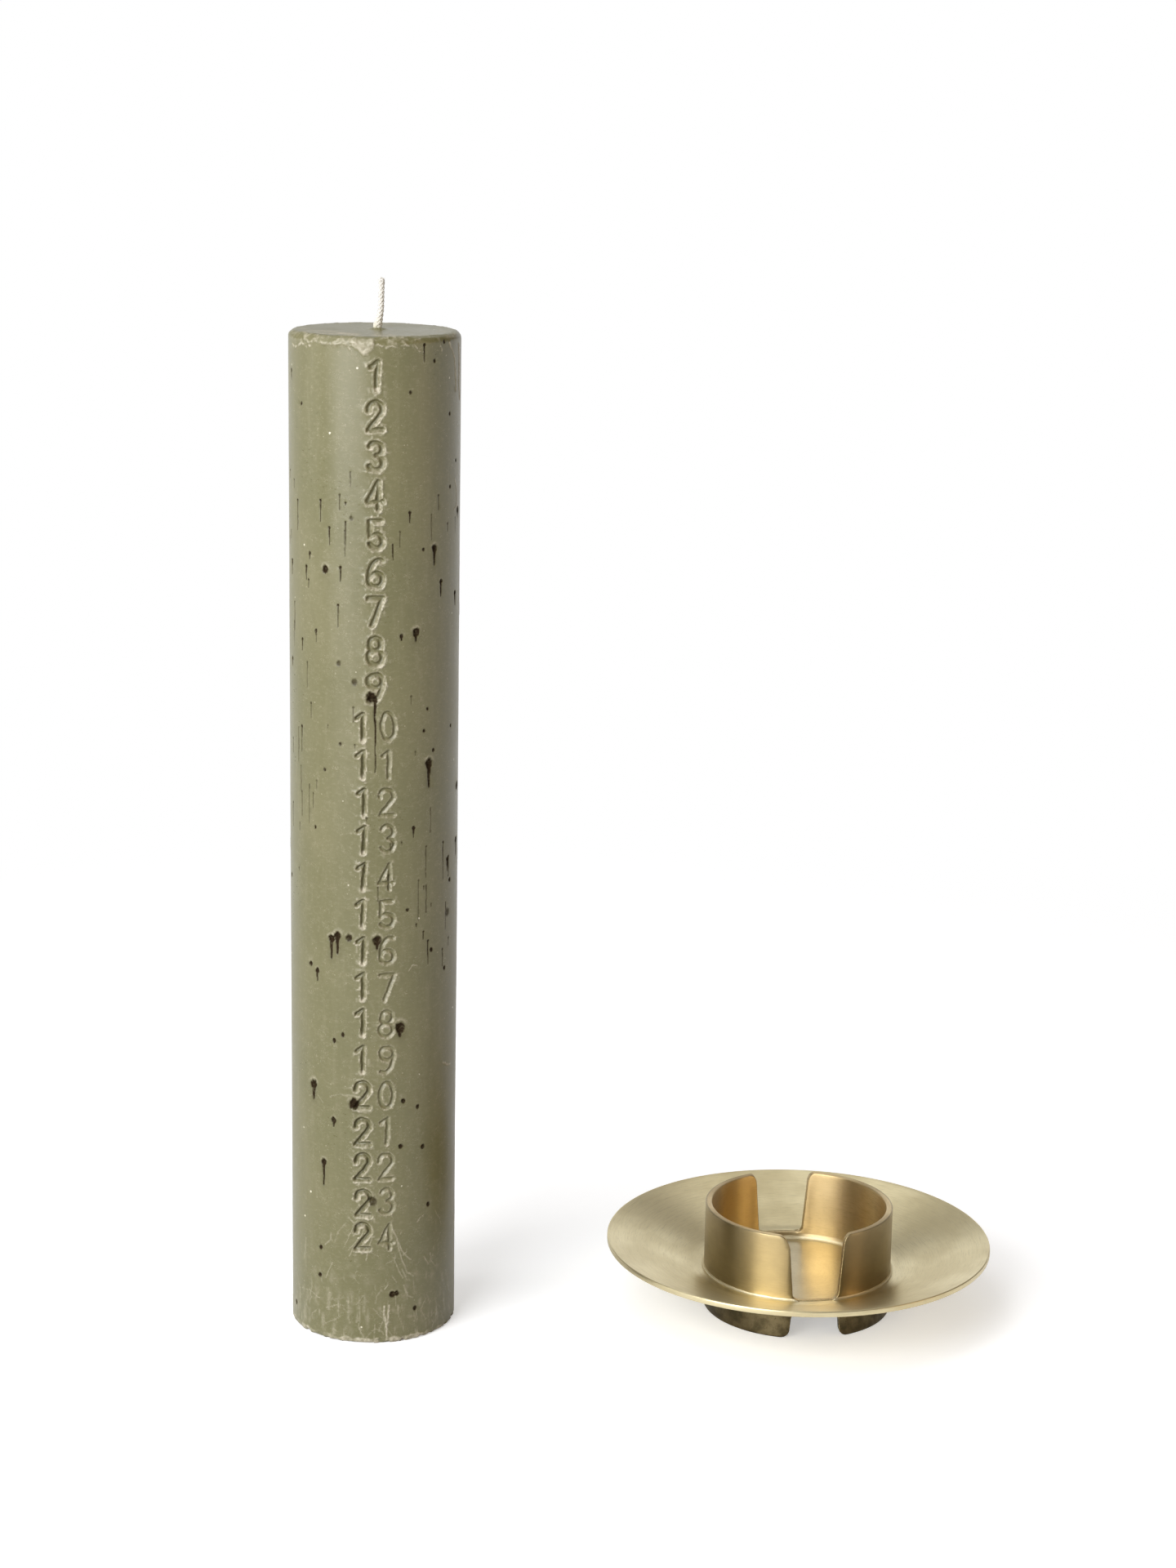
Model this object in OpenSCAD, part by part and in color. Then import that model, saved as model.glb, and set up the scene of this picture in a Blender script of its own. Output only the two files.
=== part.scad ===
// Calendar candle with numerals from 1 to 24, standing beside its brass holder.
// Millimetres, +Z up, numerals towards -Y, holder to the right of the candle.
// The origin is the middle of the pair's bounding box, on the table.

/* [Candle] */
// Diameter of the wax body
candle_d = 50; // [42:0.5:60]
// Height of the wax body
candle_h = 304; // [290:1:360]
// Radius of the upper rim
rim_round = 1.3; // [0.4:0.1:3]
// Radius of the lower rim
base_round = 0.8; // [0.3:0.1:2]

/* [Numerals] */
// How many days are numbered, from the top down
day_count = 24; // [7:1:24]
// Drop from the top of the wax to the middle of the first numeral
first_row_drop = 11; // [8:0.5:20]
// Distance between the middles of two rows
row_pitch = 11.25; // [10:0.05:11.8]
// Height of a digit, between the middles of its strokes
digit_h = 8.6; // [6:0.1:9]
// Width of a digit, between the middles of its strokes
digit_w = 4.6; // [3:0.1:5.2]
// Distance between the middles of the two digits of a number, round the wax
pair_pitch = 7.2; // [6.6:0.1:10]
// Width of the pressed grooves
groove_w = 1.2; // [0.6:0.1:1.4]
// Depth of the pressed grooves
groove_depth = 0.8; // [0.2:0.1:2]
// Turn of the column of numerals from the front, towards the holder
numeral_turn = 4.6; // [-20:0.1:20]

/* [Wick] */
// Thickness of the wick
wick_d = 1.8; // [1.2:0.1:3]
// Thickness of the wick at its swollen foot
wick_foot_d = 2.5; // [2:0.1:5]
// Thickness of the wick at its frayed tip
wick_tip_d = 2.2; // [1.2:0.1:4]
// Length of wick above the wax
wick_out = 15.2; // [10:0.1:25]
// Height of the swollen foot above the wax
wick_foot_h = 5.5; // [2:0.1:7]
// Length of the frayed tip
wick_tip_h = 2; // [0.5:0.1:3]
// How far the upper end leans towards the holder
wick_shift = 1; // [0:0.1:4]
// Distance of the wick from the candle's axis, towards the holder
wick_off = 0.9; // [0:0.1:3]
// Height at which the wick begins above the candle's base
wick_start = 0.6; // [0:0.1:5]

/* [Holder] */
// Overall height of the holder
holder_h = 33; // [28:0.5:60]
// Height of the saucer's flat above the table
flat_z = 12.4; // [11:0.1:16]
// Wall of the tube that makes the socket and the feet
tube_wall = 2; // [1:0.1:4]
// Gap between the candle and the socket, all round
socket_clear = 2.3; // [0.5:0.1:4]
// Thickness of the saucer's sheet
sheet_t = 1.7; // [1:0.1:2.5]
// Thickness of the floor disc
floor_t = 1.7; // [0.8:0.1:2.5]
// Drop from the saucer's flat to the socket's floor
floor_drop = 1.8; // [1.2:0.1:3]
// Height of uncut tube below the floor disc
band_below = 0.9; // [0.3:0.1:2]
// Width of the ledge that the turned-out socket leaves just above the floor's seam
ledge_w = 0.4; // [0.3:0.1:1]

/* [Saucer] */
// Diameter of the saucer
saucer_d = 120; // [100:1:180]
// Rise from the saucer's flat to its rim
saucer_rise = 9.6; // [3:0.1:20]
// Width of the flat ring outside the brazed fillet
flat_w = 0.2; // [0.1:0.1:4]
// Radius of the bend between the flat and the slope
bend_r = 12; // [4:0.5:20]
// Radius of the rim's two edges
edge_round = 0.35; // [0.1:0.05:0.4]

/* [Slots] */
// Turn of the slots from the front, towards the right
slot_turn = 8; // [-30:0.5:30]
// Width of the socket's slots at their foot
slot_w = 14; // [8:0.5:18]
// Lean of the slots' sides, in degrees
slot_lean = 4.5; // [0:0.5:8]
// Corner radius at the foot of a socket slot
slot_foot_r = 2; // [0.5:0.1:3]
// Corner radius at the mouth of a socket slot
slot_mouth_r = 3.5; // [1:0.1:5]
// Width of the slots between the feet, at their top
foot_slot_w = 14.6; // [8:0.5:18]
// Corner radius at the top of a foot slot
foot_slot_r = 2; // [0.5:0.1:2.5]
// Corner radius at the lower corners of the feet
foot_corner_r = 2.8; // [0.5:0.1:3]

/* [Joints] */
// Gap that the brazing alloy fills between tube, saucer and floor
seam_gap = 0.05; // [0.02:0.01:0.1]
// Leg of the brazed fillets
fillet_leg = 1; // [0.4:0.1:1.2]
// Gap between the wick and the wax
wick_gap = 0.05; // [0.02:0.01:0.1]

/* [Placing] */
// Distance from the candle's axis to the holder's axis, to the right
axis_gap_x = 132.5; // [125:0.5:250]
// Distance from the candle's axis to the holder's axis, to the back
axis_gap_y = 13.5; // [0:0.5:30]

/* [Hidden] */
$fn = 96;

wax_colour = "#8d8a68";
wick_colour = "#f1ece2";
brass_colour = "#b39f6c";
braze_colour = "#d9c78f";

candle_r = candle_d / 2;
saucer_r = saucer_d / 2;
tube_ir = candle_r + socket_clear;
tube_or = tube_ir + tube_wall;
// Radius of the tube's inside below the ledge
under_ir = tube_ir - ledge_w;
floor_z = flat_z - floor_drop;
ledge_z = floor_z + fillet_leg;
foot_slot_depth = floor_z - floor_t - band_below;
socket_slot_depth = holder_h - flat_z;

// The pair's bounding box is centred on the origin
candle_x = candle_r - (axis_gap_x + saucer_r + candle_r) / 2;
holder_x = candle_x + axis_gap_x;
candle_y = -axis_gap_y;

// Overlap of cutting shapes past the surfaces that they cut
over = 1;
// Steps along one rounded corner, round a stroke's end, along one curve and round one ring of a digit
corner_steps = 6;
cap_steps = 4;
curve_steps = 9;
ring_steps = 24;
// Sides of the wick
wick_sides = 12;
// Thickness that a fillet keeps at its thin edges
feather = 0.08;
// Degrees by which a slot's rounded mouth stops short of the tube's end
mouth_stop = 15;

// Points of an arc of an ellipse, from one angle to another
function arc(x, y, rx, ry, a0, a1, steps) =
    [for (i = [0:steps]) let(a = a0 + (a1 - a0) * i / steps) [x + rx * cos(a), y + ry * sin(a)]];

function corner(x, y, r, a0, a1) = arc(x, y, r, r, a0, a1, corner_steps);

function mirrored(points) = [for (i = [len(points) - 1:-1:0]) [-points[i][0], points[i][1]]];

module at_candle() {
    translate([candle_x, candle_y, 0]) children();
}

module at_holder() {
    translate([holder_x, 0, 0]) children();
}

// Sizes shared by the digits
half_w = digit_w / 2;
half_h = digit_h / 2;
// The middles of the lower and the upper bowl, and the radius of an upper ring that touches the lower one
low_y = half_w - half_h;
high_y = -low_y;
upper_r = half_h - half_w;
stem_x = 0.15 * half_w;
hook_rx = 1.45 * half_w;
hook_ry = digit_h - half_w;
hook_x = hook_rx - half_w;

function curve(x, y, rx, ry, a0, a1) = arc(x, y, rx, ry, a0, a1, curve_steps);

// Strokes of the digits, each a line of points in the middle of its groove
function one() = [
    [[-0.8 * half_w, half_h - 0.7 * half_w], [stem_x, half_h]],
    [[stem_x, half_h], [stem_x, -half_h]]
];

function two() = [
    concat(curve(0, high_y, half_w, half_w, 190, -35), [[-half_w, -half_h]]),
    [[-half_w, -half_h], [half_w, -half_h]]
];

function three() = [
    curve(0, half_h - upper_r, 0.9 * half_w, upper_r, 155, -80),
    curve(0, low_y, half_w, half_w, 80, -155)
];

function four() = [
    [[0.5 * half_w, half_h], [-half_w, -half_h / 2]],
    [[-half_w, -half_h / 2], [half_w, -half_h / 2]],
    [[0.5 * half_w, half_h], [0.5 * half_w, -half_h]]
];

function five() = [
    [[-0.8 * half_w, half_h], [0.85 * half_w, half_h]],
    [[-0.8 * half_w, half_h], [-0.8 * half_w, low_y + 0.6 * half_w]],
    curve(0, low_y, half_w, half_w, 143, -150)
];

function six() = [curve(hook_x, low_y, hook_rx, hook_ry, 180, 72)];

function seven() = [
    [[-half_w, half_h], [half_w, half_h]],
    [[half_w, half_h], [-0.35 * half_w, -half_h]]
];

function nine() = [curve(-hook_x, high_y, hook_rx, hook_ry, 0, -108)];

function strokes(n) = [[], one(), two(), three(), four(), five(), six(), seven(), [], nine()][n];

// Closed rings of the digits, each with its middle and its two radii
function rings(n) =
    n == 0 ? [[0, 0, half_w, half_h]] :
    n == 6 ? [[0, low_y, half_w, half_w]] :
    n == 8 ? [[0, half_h - upper_r, 0.85 * half_w, upper_r], [0, low_y, half_w, half_w]] :
    n == 9 ? [[0, high_y, half_w, half_w]] : [];

function heading(p, i) =
    let(v = p[min(i + 1, len(p) - 1)] - p[max(i - 1, 0)]) atan2(v[1], v[0]);

function beside(p, i, turn) =
    let(a = heading(p, i) + turn) p[i] + groove_w / 2 * [cos(a), sin(a)];

function cap(p, i, a0) =
    [for (k = [1:cap_steps - 1])
        let(a = heading(p, i) + a0 - 180 * k / cap_steps)
            p[i] + groove_w / 2 * [cos(a), sin(a)]];

// Outline of a groove with round ends
function groove(p) = concat(
    [for (i = [0:len(p) - 1]) beside(p, i, 90)],
    cap(p, len(p) - 1, 90),
    [for (i = [len(p) - 1:-1:0]) beside(p, i, -90)],
    cap(p, 0, -90)
);

module oval(r, grow) {
    polygon(arc(r[0], r[1], r[2] + grow, r[3] + grow, 360 / ring_steps, 360, ring_steps - 1));
}

module ring(r) {
    difference() {
        oval(r, groove_w / 2);
        oval(r, -groove_w / 2);
    }
}

module digit(n) {
    for (p = strokes(n)) polygon(groove(p));
    for (r = rings(n)) ring(r);
}

// One digit's grooves, pressed into the wax at a turn round the candle
module pressed_digit(n, turn) {
    rotate([0, 0, turn])
        translate([0, groove_depth - candle_r, 0])
            rotate([90, 0, 0])
                linear_extrude(height = groove_depth + over)
                    digit(n);
}

module number(n) {
    half_pair = pair_pitch / candle_r * 90 / PI;
    if (n < 10) {
        pressed_digit(n, numeral_turn);
    } else {
        pressed_digit(floor(n / 10), numeral_turn - half_pair);
        pressed_digit(n % 10, numeral_turn + half_pair);
    }
}

module numerals() {
    for (n = [1:day_count])
        translate([0, 0, candle_h - first_row_drop - (n - 1) * row_pitch])
            number(n);
}

module candle_wax() {
    color(wax_colour)
        at_candle()
            difference() {
                rotate_extrude()
                    polygon(concat(
                        [[0, 0]],
                        corner(candle_r - base_round, base_round, base_round, -90, 0),
                        corner(candle_r - rim_round, candle_h - rim_round, rim_round, 0, 90),
                        [[0, candle_h]]
                    ));
                translate([wick_off, 0, -over])
                    cylinder(h = candle_h + 2 * over, r = wick_r + wick_gap, $fn = 48);
                numerals();
            }
}

// Rings up the wick, each with its height, its shift to the right and its radius
wick_r = wick_d / 2;
wick_foot_r = wick_foot_d / 2;
wick_tip_r = wick_tip_d / 2;
wick_rings = [
    [wick_start, 0, wick_r],
    [candle_h, 0, wick_r],
    [candle_h + 0.15 * wick_foot_h, 0.05 * wick_shift, wick_foot_r],
    [candle_h + 0.55 * wick_foot_h, 0.45 * wick_shift, (wick_foot_r + wick_r) / 2],
    [candle_h + wick_foot_h, 0.85 * wick_shift, wick_r],
    [candle_h + wick_out - wick_tip_h, wick_shift, wick_r],
    [candle_h + wick_out - 0.2 * wick_tip_h, wick_shift, wick_tip_r],
    [candle_h + wick_out, wick_shift, 0.7 * wick_tip_r]
];

// Skin of a tube through level rings, closed at both ends
module tube_skin(rings, sides) {
    points = [for (r = rings, k = [0:sides - 1])
        let(a = 360 * k / sides) [r[1] + r[2] * cos(a), r[2] * sin(a), r[0]]];
    walls = [for (i = [0:len(rings) - 2], k = [0:sides - 1], half = [0, 1])
        let(p = i * sides + k, q = i * sides + (k + 1) % sides)
            half == 0 ? [p, p + sides, q] : [q, p + sides, q + sides]];
    last = (len(rings) - 1) * sides;
    lower_end = [for (k = [0:sides - 1]) k];
    upper_end = [for (k = [sides - 1:-1:0]) last + k];
    polyhedron(points, concat(walls, [lower_end, upper_end]));
}

module wick() {
    color(wick_colour)
        at_candle()
            translate([wick_off, 0, 0])
                tube_skin(wick_rings, wick_sides);
}

// Right side of a slot that opens upwards, from its foot to its mouth. The mouth's rounding stops
// just short of the tube's end, so that it leaves no feather edge there.
function slot_side(depth, width, foot_r, mouth_r) =
    let(
        foot_x = width / 2 + foot_r * tan(slot_lean) - foot_r / cos(slot_lean),
        mouth_x = width / 2 + (depth - mouth_r) * tan(slot_lean) + mouth_r / cos(slot_lean)
    ) concat(
        corner(foot_x, foot_r, foot_r, -90, -slot_lean),
        corner(mouth_x, depth - mouth_r, mouth_r, 180 - slot_lean, 90 + mouth_stop),
        [[mouth_x - mouth_r * sin(mouth_stop), depth + over]]
    );

// A slot through both sides of the tube, open upwards from its foot
module slot(depth, width, foot_r, mouth_r) {
    side = slot_side(depth, width, foot_r, mouth_r);
    rotate([0, 0, slot_turn])
        rotate([90, 0, 0])
            translate([0, 0, -tube_or - fillet_leg - over])
                linear_extrude(height = 2 * (tube_or + fillet_leg + over))
                    polygon(concat(side, mirrored(side)));
}

module socket_slot() {
    translate([0, 0, flat_z])
        slot(socket_slot_depth, slot_w, slot_foot_r, slot_mouth_r);
}

module foot_slot() {
    translate([0, 0, foot_slot_depth])
        mirror([0, 0, 1])
            slot(foot_slot_depth, foot_slot_w, foot_slot_r, foot_corner_r);
}

module socket_tube() {
    color(brass_colour)
        at_holder()
            difference() {
                cylinder(h = holder_h, r = tube_or);
                translate([0, 0, -over]) cylinder(h = holder_h, r = under_ir);
                translate([0, 0, ledge_z]) cylinder(h = holder_h, r = tube_ir);
                socket_slot();
                foot_slot();
            }
}

// Saucer: a flat ring, a bend, a straight slope and a trimmed rim
hole_r = tube_or + seam_gap;
bend_start = tube_or + fillet_leg + flat_w;
rim_dx = saucer_r - bend_start;
rim_dz = saucer_rise - bend_r;
slope = atan2(rim_dz, rim_dx) + asin(bend_r / norm([rim_dx, rim_dz]));
rim_z = flat_z + saucer_rise;

// Height of the saucer's upper face on its slope
function slope_z(r) = rim_z - (saucer_r - r) * tan(slope);

module saucer() {
    edge_r = saucer_r - edge_round;
    upper_edge_z = slope_z(edge_r) - edge_round / cos(slope);
    lower_edge_z = slope_z(edge_r) - (sheet_t - edge_round) / cos(slope);
    color(brass_colour)
        at_holder()
            rotate_extrude($fn = 180)
                polygon(concat(
                    [[hole_r, flat_z - sheet_t]],
                    corner(bend_start, flat_z + bend_r, bend_r + sheet_t, -90, slope - 90),
                    corner(edge_r, lower_edge_z, edge_round, slope - 90, 0),
                    corner(edge_r, upper_edge_z, edge_round, 0, slope + 90),
                    corner(bend_start, flat_z + bend_r, bend_r, slope - 90, -90),
                    [[hole_r, flat_z]]
                ));
}

module floor_disc() {
    color(brass_colour)
        at_holder()
            translate([0, 0, floor_z - floor_t])
                cylinder(h = floor_t, r = under_ir - seam_gap);
}

// Section of a hollow fillet whose legs lie along the two axes
module fillet_section() {
    polygon(concat(
        [[0, 0], [fillet_leg, 0]],
        corner(fillet_leg, fillet_leg, fillet_leg - feather, 270, 180),
        [[0, fillet_leg]]
    ));
}

module saucer_braze() {
    color(braze_colour)
        at_holder()
            difference() {
                translate([0, 0, flat_z])
                    rotate_extrude()
                        translate([tube_or, 0])
                            fillet_section();
                socket_slot();
            }
}

module floor_braze() {
    color(braze_colour)
        at_holder()
            translate([0, 0, floor_z])
                rotate_extrude()
                    translate([under_ir, 0])
                        mirror([1, 0])
                            fillet_section();
}

candle_wax();
wick();
socket_tube();
saucer();
floor_disc();
saucer_braze();
floor_braze();
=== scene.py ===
"""Looks of a calendar candle and its slotted brass holder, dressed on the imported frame."""

import math

import bmesh
import bpy
import numpy as np
from mathutils import Matrix, Vector
from mathutils.geometry import delaunay_2d_cdt


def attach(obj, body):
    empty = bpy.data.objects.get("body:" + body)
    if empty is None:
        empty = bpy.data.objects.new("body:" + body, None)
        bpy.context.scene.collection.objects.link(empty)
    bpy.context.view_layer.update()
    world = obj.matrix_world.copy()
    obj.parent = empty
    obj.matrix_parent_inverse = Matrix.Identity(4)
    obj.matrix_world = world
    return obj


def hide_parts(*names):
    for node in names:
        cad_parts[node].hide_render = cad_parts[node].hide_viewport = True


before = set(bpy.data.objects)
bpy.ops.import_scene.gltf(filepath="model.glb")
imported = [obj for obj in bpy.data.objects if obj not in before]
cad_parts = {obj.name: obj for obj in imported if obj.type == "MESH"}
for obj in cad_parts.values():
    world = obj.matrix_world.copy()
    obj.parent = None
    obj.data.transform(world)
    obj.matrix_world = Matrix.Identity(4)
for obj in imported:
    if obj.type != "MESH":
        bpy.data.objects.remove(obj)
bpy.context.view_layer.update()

MM = 0.001
WHITE = (1, 1, 1, 1)

# Sizes that the solids have too, in mm. Turns are in degrees, to the right from the front
CANDLE_X, CANDLE_Y, CANDLE_R, CANDLE_H = -83.75, -13.5, 25.0, 304.0
WICK_OFF, WICK_OUT, WICK_BORE_R = 0.9, 15.2, 0.95
ROW_DROP, ROW_PITCH, PAIR_PITCH, NUMERAL_TURN = 11, 11.25, 7.2, 4.6
HOLDER_X, HOLDER_Y, HOLDER_H = 48.75, 0.0, 33.0
TUBE_IR, TUBE_OR, UNDER_IR, SEAM_GAP = 27.3, 29.3, 26.9, 0.05
FLAT_Z, LEDGE_Z, FLOOR_Z = 12.4, 11.6, 10.6
SHEET_T, FLOOR_T, FLAT_RING = 1.7, 1.7, 1.2
SAUCER_R, SAUCER_RISE, BEND_R, RIM_EDGE_R = 60.0, 9.6, 12.0, 0.35
SLOT_TURN, SLOT_LEAN, SLOT_W, SLOT_FOOT_R = 8.0, math.radians(4.5), 14.0, 2.0
FOOT_SLOT_H, FOOT_SLOT_W, FOOT_CORNER = 8.0, 14.6, (2.8, 2.8)

# Shapes that are finer in the scene than in the solids, in mm
BASE_ROUND, RIM_ROUND = 0.8, 2.2
SAUCER_FILLET, FLOOR_FILLET, TUBE_EDGE_R = 0.6, 0.9, 0.28
FRONT_MOUTHS, BACK_MOUTHS = ((3.3, 5.6), (2.4, 3.6)), ((2.2, 3.4), (2.2, 3.4))


# Helpers


def value_noise(x, y, cell_x, cell_y, seed, wrap=None):
    """Smooth noise from -1 to 1 at points in mm. It repeats in x after wrap."""
    table = np.random.default_rng(seed).uniform(-1, 1, (509, 509))
    count = max(2, round(wrap / cell_x)) if wrap else 509
    gx = x / wrap * count if wrap else x / cell_x
    gy = y / cell_y
    ix, iy = np.floor(gx).astype(int), np.floor(gy).astype(int)
    fx, fy = gx - ix, gy - iy
    fx, fy = fx**3 * (fx * (fx * 6 - 15) + 10), fy**3 * (fy * (fy * 6 - 15) + 10)
    x0, x1 = ix % count % 509, (ix + 1) % count % 509
    y0, y1 = iy % 509, (iy + 1) % 509
    low = table[y0, x0] * (1 - fx) + table[y0, x1] * fx
    high = table[y1, x0] * (1 - fx) + table[y1, x1] * fx
    return low * (1 - fy) + high * fy


def layered_noise(x, y, cell_x, cell_y, seed, layers=3, wrap=None):
    total, weight, share = 0, 0, 1.0
    for k in range(layers):
        total = total + share * value_noise(x, y, cell_x, cell_y, seed + 31 * k, wrap)
        weight, share = weight + share, share * 0.55
        cell_x, cell_y = cell_x * 0.5, cell_y * 0.5
    return total / weight


def smooth(a, b, x):
    t = np.clip((x - a) / (b - a), 0, 1)
    return t * t * (3 - 2 * t)


def bell(x, middle, width):
    return np.exp(-(((x - middle) / width) ** 2))


def add_object(name, data):
    thing = bpy.data.objects.new(name, data)
    bpy.context.scene.collection.objects.link(thing)
    return thing


def add_mesh(name, verts_mm, faces, body, node, material, attributes=None):
    """A smooth-shaded piece from points in millimetres, riding on a body and standing for a node."""
    mesh = bpy.data.meshes.new(name)
    mesh.from_pydata((np.asarray(verts_mm, float) * MM).tolist(), [], [list(f) for f in faces])
    mesh.validate()
    for key, values in (attributes or {}).items():
        layer = mesh.attributes.new(key, "FLOAT", "POINT")
        layer.data.foreach_set("value", np.asarray(values, np.float32))
    mesh.shade_smooth()
    mesh.materials.append(material)
    piece = add_object(name, mesh)
    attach(piece, body)
    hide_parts(node)
    return piece


# Camera


def make_camera():
    pitch, roll, focal_px = 0.2327, 0.01795, 3785.6
    place = Vector((-19.81, -913.5, 383.32)) * MM
    right = Vector((1, 0, 0))
    forward = Vector((0, math.cos(pitch), -math.sin(pitch)))
    up = right.cross(forward)
    side = right * math.cos(roll) + up * math.sin(roll)
    top = up * math.cos(roll) - right * math.sin(roll)
    data = bpy.data.cameras.new("camera")
    data.sensor_width = 36
    data.lens = focal_px * 36 / 1920
    data.clip_start, data.clip_end = 0.05, 20
    camera = add_object("camera", data)
    turn = Matrix((side, top, -forward)).transposed().to_4x4()
    camera.matrix_world = Matrix.Translation(place) @ turn
    bpy.context.scene.camera = camera


make_camera()


# Node helpers


class Tree:
    """Builds a material's nodes with short calls. A socket or a constant can be given as any input."""

    def __init__(self, owner):
        owner.use_nodes = True
        self.nodes, self.links = owner.node_tree.nodes, owner.node_tree.links
        self.nodes.clear()

    def add(self, kind, inputs=None, out=0, **settings):
        node = self.nodes.new("ShaderNode" + kind)
        for key, value in settings.items():
            setattr(node, key, value)
        for key, value in (inputs or {}).items():
            socket = node.inputs[key]
            if isinstance(value, bpy.types.NodeSocket):
                self.links.new(value, socket)
            else:
                socket.default_value = value
        return node.outputs[out]

    def math(self, operation, a, b=0.0, clamp=False):
        return self.add("Math", {0: a, 1: b}, operation=operation, use_clamp=clamp)

    def times(self, a, b, clamp=False):
        return self.math("MULTIPLY", a, b, clamp)

    def plus(self, a, b, clamp=False):
        return self.math("ADD", a, b, clamp)

    def minus(self, a, b):
        return self.math("SUBTRACT", a, b)

    def highest(self, a, b):
        return self.math("MAXIMUM", a, b)

    def reach(self, x, y):
        return self.math("SQRT", self.plus(self.times(x, x), self.times(y, y)))

    def split(self, vector):
        return tuple(self.add("SeparateXYZ", {0: vector}).node.outputs)

    def mix(self, factor, a, b):
        a = a if isinstance(a, bpy.types.NodeSocket) else (*a, 1)
        b = b if isinstance(b, bpy.types.NodeSocket) else (*b, 1)
        return self.add("Mix", {0: factor, 6: a, 7: b}, out=2, data_type="RGBA")

    def tint(self, colour, other, mask, share):
        """The colour with a share of another one where the mask is 1."""
        return self.mix(self.times(mask, share), colour, other)

    def span(self, value, low, high, to_low=0.0, to_high=1.0):
        inputs = {0: value, 1: low, 2: high, 3: to_low, 4: to_high}
        return self.add("MapRange", inputs, interpolation_type="SMOOTHSTEP")

    def noise(self, vector, scale, detail=3.0, roughness=0.55, distortion=0.0):
        inputs = {"Vector": vector, "Scale": scale, "Detail": detail}
        inputs |= {"Roughness": roughness, "Distortion": distortion}
        return self.add("TexNoise", inputs)

    def patches(self, vector, scale, detail, low, high, to_low=0.0, to_high=1.0):
        return self.span(self.noise(vector, scale, detail), low, high, to_low, to_high)

    def bump(self, height, strength, distance):
        return self.add("Bump", {"Height": height, "Strength": strength, "Distance": distance})

    def rays(self):
        """Whether a ray comes from the camera, and whether it comes off metal or through glass."""
        camera, glossy, through = (self.add("LightPath", out=k) for k in (0, 3, 6))
        return camera, self.highest(glossy, through)

    def finish(self, kind, shader):
        node = self.nodes.new("ShaderNode" + kind)
        self.links.new(shader, node.inputs[0])


def new_material(name):
    material = bpy.data.materials.new(name)
    return material, Tree(material)


def object_point(tree, stretch=(1, 1, 1)):
    return tree.add("Mapping", {"Vector": tree.add("TexCoord", out=3), "Scale": stretch})


# Wax


def wax_material():
    material, t = new_material("wax")
    even = object_point(t)
    tall = object_point(t, (1, 1, 0.12))
    cloud = t.noise(even, 28, 4)
    streak = t.noise(tall, 420, 3)
    mottle = t.noise(object_point(t, (1, 1, 1.7)), 700, 3, 0.65)
    worm = t.noise(even, 950, 1, 0.5, 1.6)
    colour = t.mix(t.span(cloud, 0.35, 0.65), (0.149, 0.140, 0.059), (0.172, 0.159, 0.073))
    for field, low, high, share, other in (
        (streak, 0.5, 0.8, 0.3, (0.235, 0.215, 0.124)),
        (streak, 0.5, 0.22, 0.3, (0.134, 0.124, 0.050)),
        (mottle, 0.52, 0.68, 0.38, (0.235, 0.216, 0.126)),
        (mottle, 0.48, 0.34, 0.2, (0.125, 0.112, 0.048)),
    ):
        colour = t.tint(colour, other, t.span(field, low, high), share)
    curl = t.span(t.math("ABSOLUTE", t.minus(worm, 0.5)), 0.02, 0.005)
    curl = t.times(curl, t.patches(even, 340, 2, 0.5, 0.62))
    colour = t.tint(colour, (0.42, 0.385, 0.27), curl, 0.42)
    # Fine dust, then larger pale specks
    for scale, edge, core, patch, low, high, share, other in (
        (820, 0.2, 0.1, 620, 0.58, 0.7, 0.5, (0.48, 0.44, 0.32)),
        (240, 0.11, 0.06, 260, 0.63, 0.66, 0.9, (0.80, 0.75, 0.60)),
    ):
        dots = t.span(t.add("TexVoronoi", {"Vector": even, "Scale": scale}), edge, core)
        dots = t.times(dots, t.patches(even, patch, 1, low, high))
        colour = t.tint(colour, other, dots, share)
    # The dark layer holds the dark flecks and painted shade in the digits and in the chips at the foot;
    # the pale layer holds crumbs, flakes and scrapes, and painted highlights on the digits, the flecks'
    # rims and the top edge
    dark = t.add("Attribute", attribute_name="dark", out=2)
    pale = t.add("Attribute", attribute_name="pale", out=2)
    ragged = t.patches(even, 1100, 3, 0.3, 0.65, 0.45, 1.15)
    firm = t.patches(even, 1300, 3, 0.3, 0.6, 0.8, 1.1)
    colour = t.mix(t.times(pale, ragged, True), colour, (0.50, 0.455, 0.345))
    rough = t.span(cloud, 0.3, 0.7, 0.31, 0.39)
    rough = t.plus(rough, t.times(pale, 0.2), True)
    rough = t.plus(rough, t.times(t.minus(mottle, 0.5), 0.25), True)
    height = t.plus(t.times(mottle, 0.8), t.times(streak, 0.5))
    inputs = {"Base Color": colour, "Roughness": rough, "Specular IOR Level": 0.65}
    shader = t.add("BsdfPrincipled", inputs | {"Normal": t.bump(height, 0.22, 0.0001)})
    # A near-black diffuse for the dark flecks and for the painted shade
    soot_and_shade = t.add("BsdfDiffuse", {"Color": (0.030, 0.020, 0.011, 1)})
    shown = t.add("MixShader", {0: t.times(dark, firm, True), 1: shader, 2: soot_and_shade})
    t.finish("OutputMaterial", shown)
    return material


# Fine lattice over the wax: columns round it, starting at the back, and rows up its profile
CELL = 8
COLUMNS, ROWS = 80 * CELL, 156 * CELL
ARC_LOW, ARC_HIGH = BASE_ROUND * math.pi / 2, RIM_ROUND * math.pi / 2
WALL = CANDLE_H - BASE_ROUND - RIM_ROUND
PROFILE = ARC_LOW + WALL + ARC_HIGH
GIRTH = 2 * math.pi * CANDLE_R

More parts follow.
